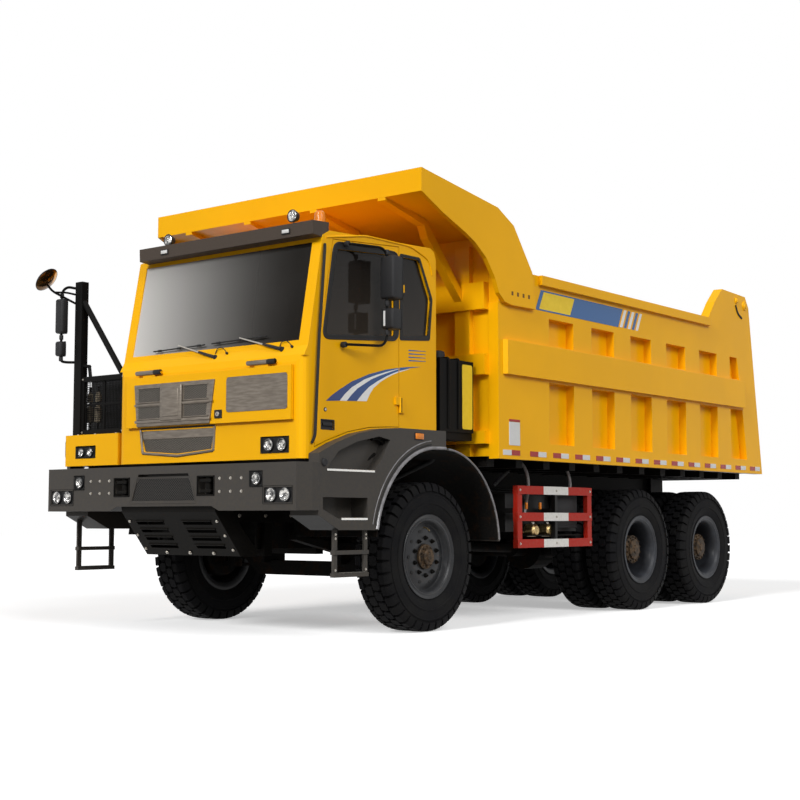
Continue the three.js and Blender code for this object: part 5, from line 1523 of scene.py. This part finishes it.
# ---------------------------------------------------------------- sump guard, tank and chassis
class TRUCK_OT_underside_fittings(Operator):
    """Add the sump guard's bolts and ribs, the oil tank's label and hose, rail bolts and hoses"""

    bl_idname = "truck.underside_fittings"
    bl_label = "Underside fittings"

    def execute(self, context):
        piece = Piece("underside_fittings")
        slope = (SUMP_TOP - SUMP_FOOT).normalized()
        out = Vector((slope.z, 0, -slope.x))
        for y in (-0.30, 0.0, 0.30):
            piece.add("steel_bolt", bolt(Vector((1.585, y, 0.733)) + out * 0.004, out, 0.012))
        for y in (-0.56, 0.56):
            for t in (0.06, 0.22, 0.38):
                piece.add("steel_bolt", bolt(Vector((1.570, y, 0.717)) + slope * t + out * 0.004, out, 0.010))
        for z in (0.770, 0.840, 0.910, 0.980):
            for y in (-0.30, 0.30):
                rise = (z + 0.034 - SUMP_FOOT.z) / slope.z
                place = SUMP_FOOT + Y * y + slope * rise + out * 0.002
                piece.add("black_enamel", rod(place - Y * 0.185, place + Y * 0.185, 0.008, 8))
        tank_low, tank_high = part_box("oil_tank_left")
        face, front, rear = tank_high.y, tank_high.x - AXLE, tank_low.x - AXLE
        label = block((rear + 0.020, rear + 0.185), (face - 0.002, face + 0.003), (1.885, 2.505), 0.0)
        piece.add("yellow_label", round_plate(label, 1, 0.02, 4))
        for x in (front - 0.13, rear + 0.25):
            strap = [(x, face - 0.275, 2.548), (x, face + 0.006, 2.548), (x, face + 0.006, 1.880)]
            piece.add("black_enamel", pipe(strap, 0.012, 8, 0.02))
        cap = [
            (0.0, 2.626), (0.040, 2.626), (0.062, 2.615), (0.066, 2.590), (0.066, 2.560), (0.058, 2.548),
            (0.0, 2.548),
        ]
        piece.add("black_plastic", lathe(cap, (-0.300, face - 0.135, 0), Z, 28))
        foot, top = (front + 0.01, face - 0.06, 1.93), (front + 0.01, face - 0.06, 2.50)
        piece.add("hose_brown", rod(foot, top, 0.014, 12))
        hose = [
            (front - 0.04, face - 0.06, 1.90), (front - 0.02, face - 0.06, 1.76),
            (front - 0.25, face - 0.25, 1.60), (front - 0.30, 0.60, 1.38),
        ]
        piece.add("rubber_seal", pipe(hose, 0.024, 10, 0.08))
        for side in SIDES.values():
            for i in range(24):
                for z in (1.06, 1.27):
                    place = (1.50 - i * RAIL_BOLT_PITCH, FRAME_SIDE, z)
                    piece.add("steel_bolt", on_side(bolt(place, Y, 0.013), side))
            for y, z in ((0.543, 1.30), (0.556, 1.335), (0.549, 1.362)):
                line = [(1.30, y, z), (0.4, y, z), (-1.2, y, z), (-3.2, y, z), (-5.9, y, z)]
                piece.add("rubber_seal", on_side(pipe(line, 0.010, 6), side))
        piece.done("chassis", "black_paint")
        return {"FINISHED"}


class TRUCK_OT_side_guard_fittings(Operator):
    """Add the air valves, box, hoses and bolts behind and on the side guard"""

    bl_idname = "truck.side_guard_fittings"
    bl_label = "Side guard fittings"

    def execute(self, context):
        piece = Piece("side_guard_fittings")
        low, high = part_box("side_guard_left")
        face = high.y
        rear, front = low.x - AXLE, high.x - AXLE
        for x in (front - 0.44, front - 0.72):
            bowl = [
                (0.0, 0.05), (0.045, 0.05), (0.064, 0.030), (0.066, -0.06), (0.056, -0.085),
                (0.0, -0.085),
            ]
            piece.add("brass", lathe(bowl, (x, 1.395, 0.915), Y, 28))
            neck = rod((x, 1.395, 0.975), (x, 1.395, 1.005), 0.018, 12, round_by=0.003)
            piece.add("steel_bolt", neck)
        case = block((front - 1.32, front - 0.86), (1.335, 1.400), (0.935, 1.285), 0.012, 2)
        lid = block((front - 1.29, front - 0.89), (1.398, 1.410), (0.965, 1.255), 0.008, 2)
        piece.add("black_plastic", case, lid)
        piece.add("black_enamel", block((front - 1.34, front - 0.28), (1.26, 1.45), (0.855, 0.868), 0.002))
        for x in (front - 0.40, front - 1.22):
            hose = [
                (x, 1.32, 1.10), (x + 0.02, 1.40, 1.40), (x + 0.10, 1.38, 1.62), (x + 0.22, 0.90, 1.70),
                (x + 0.25, 0.56, 1.40),
            ]
            piece.add("hose_grey", pipe(hose, 0.017, 10, 0.12))
        for x in (front - 0.56, front - 0.30):
            piece.add("amber_lens", rod((x, 1.41, 1.13), (x, 1.41, 1.20), 0.016, 12, round_by=0.003))
        for x in (rear + 0.042, rear + 0.720, front - 0.042):
            for z in GUARD_BARS:
                piece.add("steel_bolt", bolt((x, face, z + GUARD_BAR_HEIGHT / 2), Y, 0.010))
        piece.done("chassis", "black_paint")
        return {"FINISHED"}


# ---------------------------------------------------------------- tipping body
def on_post(x, z, proud=0.003, round_by=0.001):
    """A thin plate that lies on the outer face of the body's posts."""
    return block(x, (POST_FACE - 0.002, POST_FACE + proud), z, round_by)


def reflector_pair(piece, x, flip=False):
    """A red and a white reflector side by side on the body's lower edge."""
    front, rear = ("white_reflector", "red_reflector") if flip else ("red_reflector", "white_reflector")
    for low, high, name in ((x - 0.150, x - 0.001, rear), (x + 0.001, x + 0.150, front)):
        piece.add(name, on_post((low, high), (1.648, 1.700)))


LIVERY_LOW, LIVERY_HIGH, LIVERY_LEAN = 3.140, 3.340, 0.10
LIVERY_BANDS = (
    ("stripe_blue", -1.500, -1.560), ("yellow_label", -1.562, -2.160), ("stripe_blue", -2.162, -3.180),
    ("stripe_white", -3.215, -3.270), ("stripe_blue", -3.305, -3.360), ("stripe_white", -3.395, -3.450),
    ("stripe_blue", -3.485, -3.540), ("stripe_white", -3.575, -3.625),
)
GATE_PIN = Vector((-6.470, POST_FACE, 3.760))


def body_side_fittings(name, side):
    piece = Piece(f"body_fittings_{name}", side)
    reflector_pair(piece, -1.050, flip=True)
    for i in range(13):
        reflector_pair(piece, -1.530 - i * REFLECTOR_PITCH)
    piece.add("white_reflector", on_post((-1.200, -1.008), (1.746, 1.975), 0.0035, 0.003))
    piece.add("red_reflector", on_post((-1.200, -1.008), (1.977, 2.002), 0.0040, 0.003))
    for finish_name, front, rear in LIVERY_BANDS:
        outline = [
            (front, LIVERY_LOW), (front - LIVERY_LEAN, LIVERY_HIGH),
            (rear - LIVERY_LEAN, LIVERY_HIGH), (rear, LIVERY_LOW),
        ]
        piece.add(finish_name, plate("y", outline, POST_FACE - 0.002, POST_FACE + 0.002))
    for z, shift in ((LIVERY_LOW + 0.002, 0.0), (LIVERY_HIGH - 0.002, LIVERY_LEAN)):
        piece.add("stripe_blue", on_post((-3.18 - shift, -1.50 - shift), (z - 0.008, z + 0.008)))
    piece.add("yellow_enamel", block((-0.850, -0.838), (1.583, 1.6995), (3.132, 3.779)))
    for by, size in ((Vector((0, 0, 0)), 0.062), (Vector((0.24, 0, 0.04)), 0.040)):
        boss = [
            (0.0, 0.022), (size * 0.45, 0.022), (size * 0.55, 0.012), (size * 0.9, 0.012),
            (size, 0.004), (size, -0.004),
        ]
        piece.add("yellow_enamel", lathe(boss, GATE_PIN + by, Y, 28))
    slot = ((0.27, 0.002, -0.02), (0.22, 0.002, -0.12), (0.10, 0.002, -0.17))
    piece.add("rubber_seal", pipe([GATE_PIN + Vector(by) for by in slot], 0.014, 8, 0.05))
    piece.done("dump_body", "yellow_paint")


class TRUCK_OT_body_fittings(Operator):
    """Add the body's reflectors, blank plates, stripes, corner plates, bosses and slots"""

    bl_idname = "truck.body_fittings"
    bl_label = "Body fittings"

    def execute(self, context):
        for name, side in SIDES.items():
            body_side_fittings(name, side)
        return {"FINISHED"}


# ---------------------------------------------------------------- seats
SEAT_FOOT = 2.020
SEAT_YS = {"driver": 0.950, "passenger": -0.250}


def cushion(size, centre, crown, tilt=0.0, cuts=10):
    """A stuffed pad: a block swelled towards its middle, with a pulled-in seam round it."""
    shape = bmesh.new()
    bmesh.ops.create_cube(shape, size=1)
    bmesh.ops.subdivide_edges(shape, edges=shape.edges, cuts=cuts, use_grid_fill=True)
    for v in shape.verts:
        u, w, t = (abs(c) * 2 for c in v.co)
        swell = 1 + crown * (1 - u**2) * (1 - w**2)
        edge = 1 - 0.10 * (max(u, w) ** 10) * t**4
        seam = 1 - 0.035 * math.exp(-(t / 0.14) ** 2)
        v.co.z *= swell * edge
        narrow = seam * (1 - 0.10 * t**6)
        v.co.x *= narrow
        v.co.y *= narrow
    bmesh.ops.scale(shape, vec=size, verts=shape.verts)
    bmesh.ops.smooth_vert(
        shape, verts=shape.verts, factor=0.5, use_axis_x=True, use_axis_y=True, use_axis_z=True
    )
    return moved(turned(shape, tilt, (0, 0, 0), "Y"), centre)


class TRUCK_OT_seats(Operator):
    """Model the two padded seats: cushion, back, head rest and side bolsters on a black base"""

    bl_idname = "truck.seats"
    bl_label = "Seats"

    def execute(self, context):
        for name, y in SEAT_YS.items():
            seat = Piece(f"{name}_seat_pads")
            seat.add("seat_cloth", cushion((0.44, 0.36, 0.115), (0.590, y, SEAT_FOOT + 0.085), 0.18))
            for edge in (y + 0.205, y - 0.205):
                bolster = cushion((0.42, 0.075, 0.125), (0.590, edge, SEAT_FOOT + 0.092), 0.10, cuts=6)
                wing = cushion((0.105, 0.075, 0.52), (0.318, edge, SEAT_FOOT + 0.420), 0.10, -13, 6)
                seat.add("seat_cloth", bolster, wing)
            back = cushion((0.58, 0.36, 0.105), (0.300, y, SEAT_FOOT + 0.440), 0.22, 77)
            head = cushion((0.17, 0.26, 0.095), (0.205, y, SEAT_FOOT + 0.695), 0.2, 80, 6)
            seat.add("seat_cloth", back, head)
            done = seat.done("chassis", "seat_fabric", [f"{name}_seat"])
            base = Piece(f"{name}_seat_base")
            slab = block(
                (0.360, 0.800), (y - 0.21, y + 0.21), (SEAT_FOOT + 0.001, SEAT_FOOT + 0.030), 0.008, 2,
            )
            base.add("black_plastic", slab)
            axis_z = SEAT_FOOT + 0.06
            pivot = rod((0.345, y - 0.235, axis_z), (0.345, y + 0.235, axis_z), 0.014, 12, round_by=0.003)
            base.add("steel_bolt", pivot)
            for post in (y + 0.05, y - 0.05):
                low, high = (0.255, post, SEAT_FOOT + 0.56), (0.222, post, SEAT_FOOT + 0.70)
                base.add("steel_bolt", rod(low, high, 0.006, 8))
            base.done("chassis", "dash_plastic")
        return {"FINISHED"}


# ---------------------------------------------------------------- finishes of the kept CAD nodes
SLOT_FINISH = {
    "yellow_paint": "yellow_enamel",
    "grey_paint": "grey_enamel",
    "black_paint": "black_enamel",
    "red_paint": "guard_bands",
    "cast_iron": "underbody_iron",
    "tyre_rubber": "tread_rubber",
    "wheel_paint": "front_rim_enamel",
    "tinted_glass": "side_glass",
    "seat_fabric": "seat_cloth",
    "dash_plastic": "black_plastic",
    "chrome_rod": "polished_rod",
}
NODE_FINISH = {
    "windscreen": "windscreen_glass",
    "sun_visor": "visor_black",
    "body_floor": "floor_steel",
    "body_front": "canopy_enamel",
}


class TRUCK_OT_frame_finishes(Operator):
    """Give every CAD node that stays its procedural finish"""

    bl_idname = "truck.frame_finishes"
    bl_label = "Frame finishes"

    def execute(self, context):
        slots = {part["node"]: part["material_slot"] for part in frame["record"]["subparts"]}
        for name, node in frame["nodes"].items():
            chosen = NODE_FINISH.get(name, SLOT_FINISH[slots[name]])
            node.data.materials.clear()
            node.data.materials.append(finish_of(chosen))
        return {"FINISHED"}


# ---------------------------------------------------------------- stage
FLOOR_SIZE = 60
FLOOR_BOUNCE = (0.22, 0.21, 0.20)  # what the floor sends up on to the truck
FLOOR_GLOW = (0.42, 0.42, 0.42)
FILL_SHARE = 0.72  # of the key lamp's strength
WORLD_LIGHT = 0.22
CAMERA_PLACE = Vector((AXLE + 10.430, 9.326, 1.030))
CAMERA_YAW = math.radians(38.12)
CAMERA_PITCH = math.radians(4.82)
FOCAL_SHARE = 1.764  # the focal length over the sensor's width
SENSOR_WIDTH = 36
SIGHT = 300


class TRUCK_OT_stage(Operator):
    """Add the floor, the lamps, the plain world and the camera"""

    bl_idname = "truck.stage"
    bl_label = "Stage"

    def execute(self, context):
        scene = context.scene
        scene.view_settings.view_transform = "Standard"
        self.add_floor(scene)
        self.add_lamps(scene)
        self.add_world(scene)
        self.add_camera(scene)
        return {"FINISHED"}

    def add_floor(self, scene):
        shape = bmesh.new()
        bmesh.ops.create_grid(shape, x_segments=1, y_segments=1, size=FLOOR_SIZE)
        mesh = mesh_of(shape, "floor")
        floor = bpy.data.objects.new("floor", mesh)
        scene.collection.objects.link(floor)
        made = Finish("pale_floor", 0.9)
        rays = made.node("ShaderNodeLightPath")
        seen = rays["Is Camera Ray"] + rays["Is Glossy Ray"] + rays["Is Transmission Ray"]
        pale = made.blend(made.noise(0.4, 2), (0.88, 0.88, 0.88), (0.92, 0.92, 0.92))
        made.set("Base Color", made.blend(seen, FLOOR_BOUNCE, pale))
        made.set("Specular IOR Level", 0.0)
        made.set("Emission Strength", 1.0)
        made.set("Emission Color", made.blend(seen, (0.0, 0.0, 0.0), FLOOR_GLOW))
        mesh.materials.append(made.material)

    def add_lamps(self, scene):
        for name, aim, strength, angle in (
            ("key", (-0.88, -0.10, -0.46), look().lamp_level, 14),
            ("fill", (-0.25, -0.80, -0.55), look().lamp_level * FILL_SHARE, 30),
        ):
            lamp = bpy.data.lights.new(name, "SUN")
            lamp.energy, lamp.angle = strength, math.radians(angle)
            holder = bpy.data.objects.new(name, lamp)
            holder.rotation_mode = "QUATERNION"
            holder.rotation_quaternion = Vector(aim).to_track_quat("-Z", "Y")
            scene.collection.objects.link(holder)

    def add_world(self, scene):
        world = bpy.data.worlds.new("plain_world")
        scene.world = world
        world.use_nodes = True
        nodes, links = world.node_tree.nodes, world.node_tree.links
        nodes.clear()
        seen, lit = nodes.new("ShaderNodeBackground"), nodes.new("ShaderNodeBackground")
        for background, strength in ((seen, 1.0), (lit, WORLD_LIGHT)):
            background.inputs["Color"].default_value = (1, 1, 1, 1)
            background.inputs["Strength"].default_value = strength
        rays = nodes.new("ShaderNodeLightPath")
        mix = nodes.new("ShaderNodeMixShader")
        output = nodes.new("ShaderNodeOutputWorld")
        either = rays.outputs["Is Camera Ray"]
        for kind in ("Is Glossy Ray", "Is Transmission Ray"):
            larger = nodes.new("ShaderNodeMath")
            larger.operation = "MAXIMUM"
            links.new(either, larger.inputs[0])
            links.new(rays.outputs[kind], larger.inputs[1])
            either = larger.outputs[0]
        links.new(either, mix.inputs[0])
        links.new(lit.outputs[0], mix.inputs[1])
        links.new(seen.outputs[0], mix.inputs[2])
        links.new(mix.outputs[0], output.inputs[0])

    def add_camera(self, scene):
        camera = bpy.data.cameras.new("camera")
        camera.sensor_width = SENSOR_WIDTH
        camera.lens = FOCAL_SHARE * SENSOR_WIDTH
        camera.clip_end = SIGHT
        holder = bpy.data.objects.new("camera", camera)
        holder.location = CAMERA_PLACE
        level = math.cos(CAMERA_PITCH)
        ahead = Vector(
            (-math.cos(CAMERA_YAW) * level, -math.sin(CAMERA_YAW) * level, math.sin(CAMERA_PITCH))
        )
        holder.rotation_mode = "QUATERNION"
        holder.rotation_quaternion = ahead.to_track_quat("-Z", "Y")
        scene.collection.objects.link(holder)
        scene.camera = holder


class TRUCK_PT_panel(Panel):
    """Lists the truck's sizes, colours and steps"""

    bl_idname = "TRUCK_PT_panel"
    bl_label = "Dump Truck"
    bl_space_type = "VIEW_3D"
    bl_region_type = "UI"
    bl_category = "Dump Truck"

    def draw(self, context):
        for name in TruckLook.__annotations__:
            self.layout.prop(context.scene.truck_look, name)
        for step in STEPS:
            self.layout.operator(step.bl_idname)


STEPS = (
    TRUCK_OT_frame_finishes,
    TRUCK_OT_wheels,
    TRUCK_OT_bumper_fittings,
    TRUCK_OT_front_flap_fittings,
    TRUCK_OT_cab_front,
    TRUCK_OT_mirrors,
    TRUCK_OT_deck_fittings,
    TRUCK_OT_fender_fittings,
    TRUCK_OT_door_fittings,
    TRUCK_OT_roof_fittings,
    TRUCK_OT_underside_fittings,
    TRUCK_OT_side_guard_fittings,
    TRUCK_OT_body_fittings,
    TRUCK_OT_seats,
    TRUCK_OT_stage,
)
CLASSES = (TruckLook, *STEPS, TRUCK_PT_panel)


def register():
    for each in CLASSES:
        bpy.utils.register_class(each)
    bpy.types.Scene.truck_look = PointerProperty(type=TruckLook)


def unregister():
    del bpy.types.Scene.truck_look
    for each in reversed(CLASSES):
        bpy.utils.unregister_class(each)


def main():
    register()
    for step in STEPS:
        family, name = step.bl_idname.split(".")
        getattr(getattr(bpy.ops, family), name)()


if __name__ == "__main__":
    main()
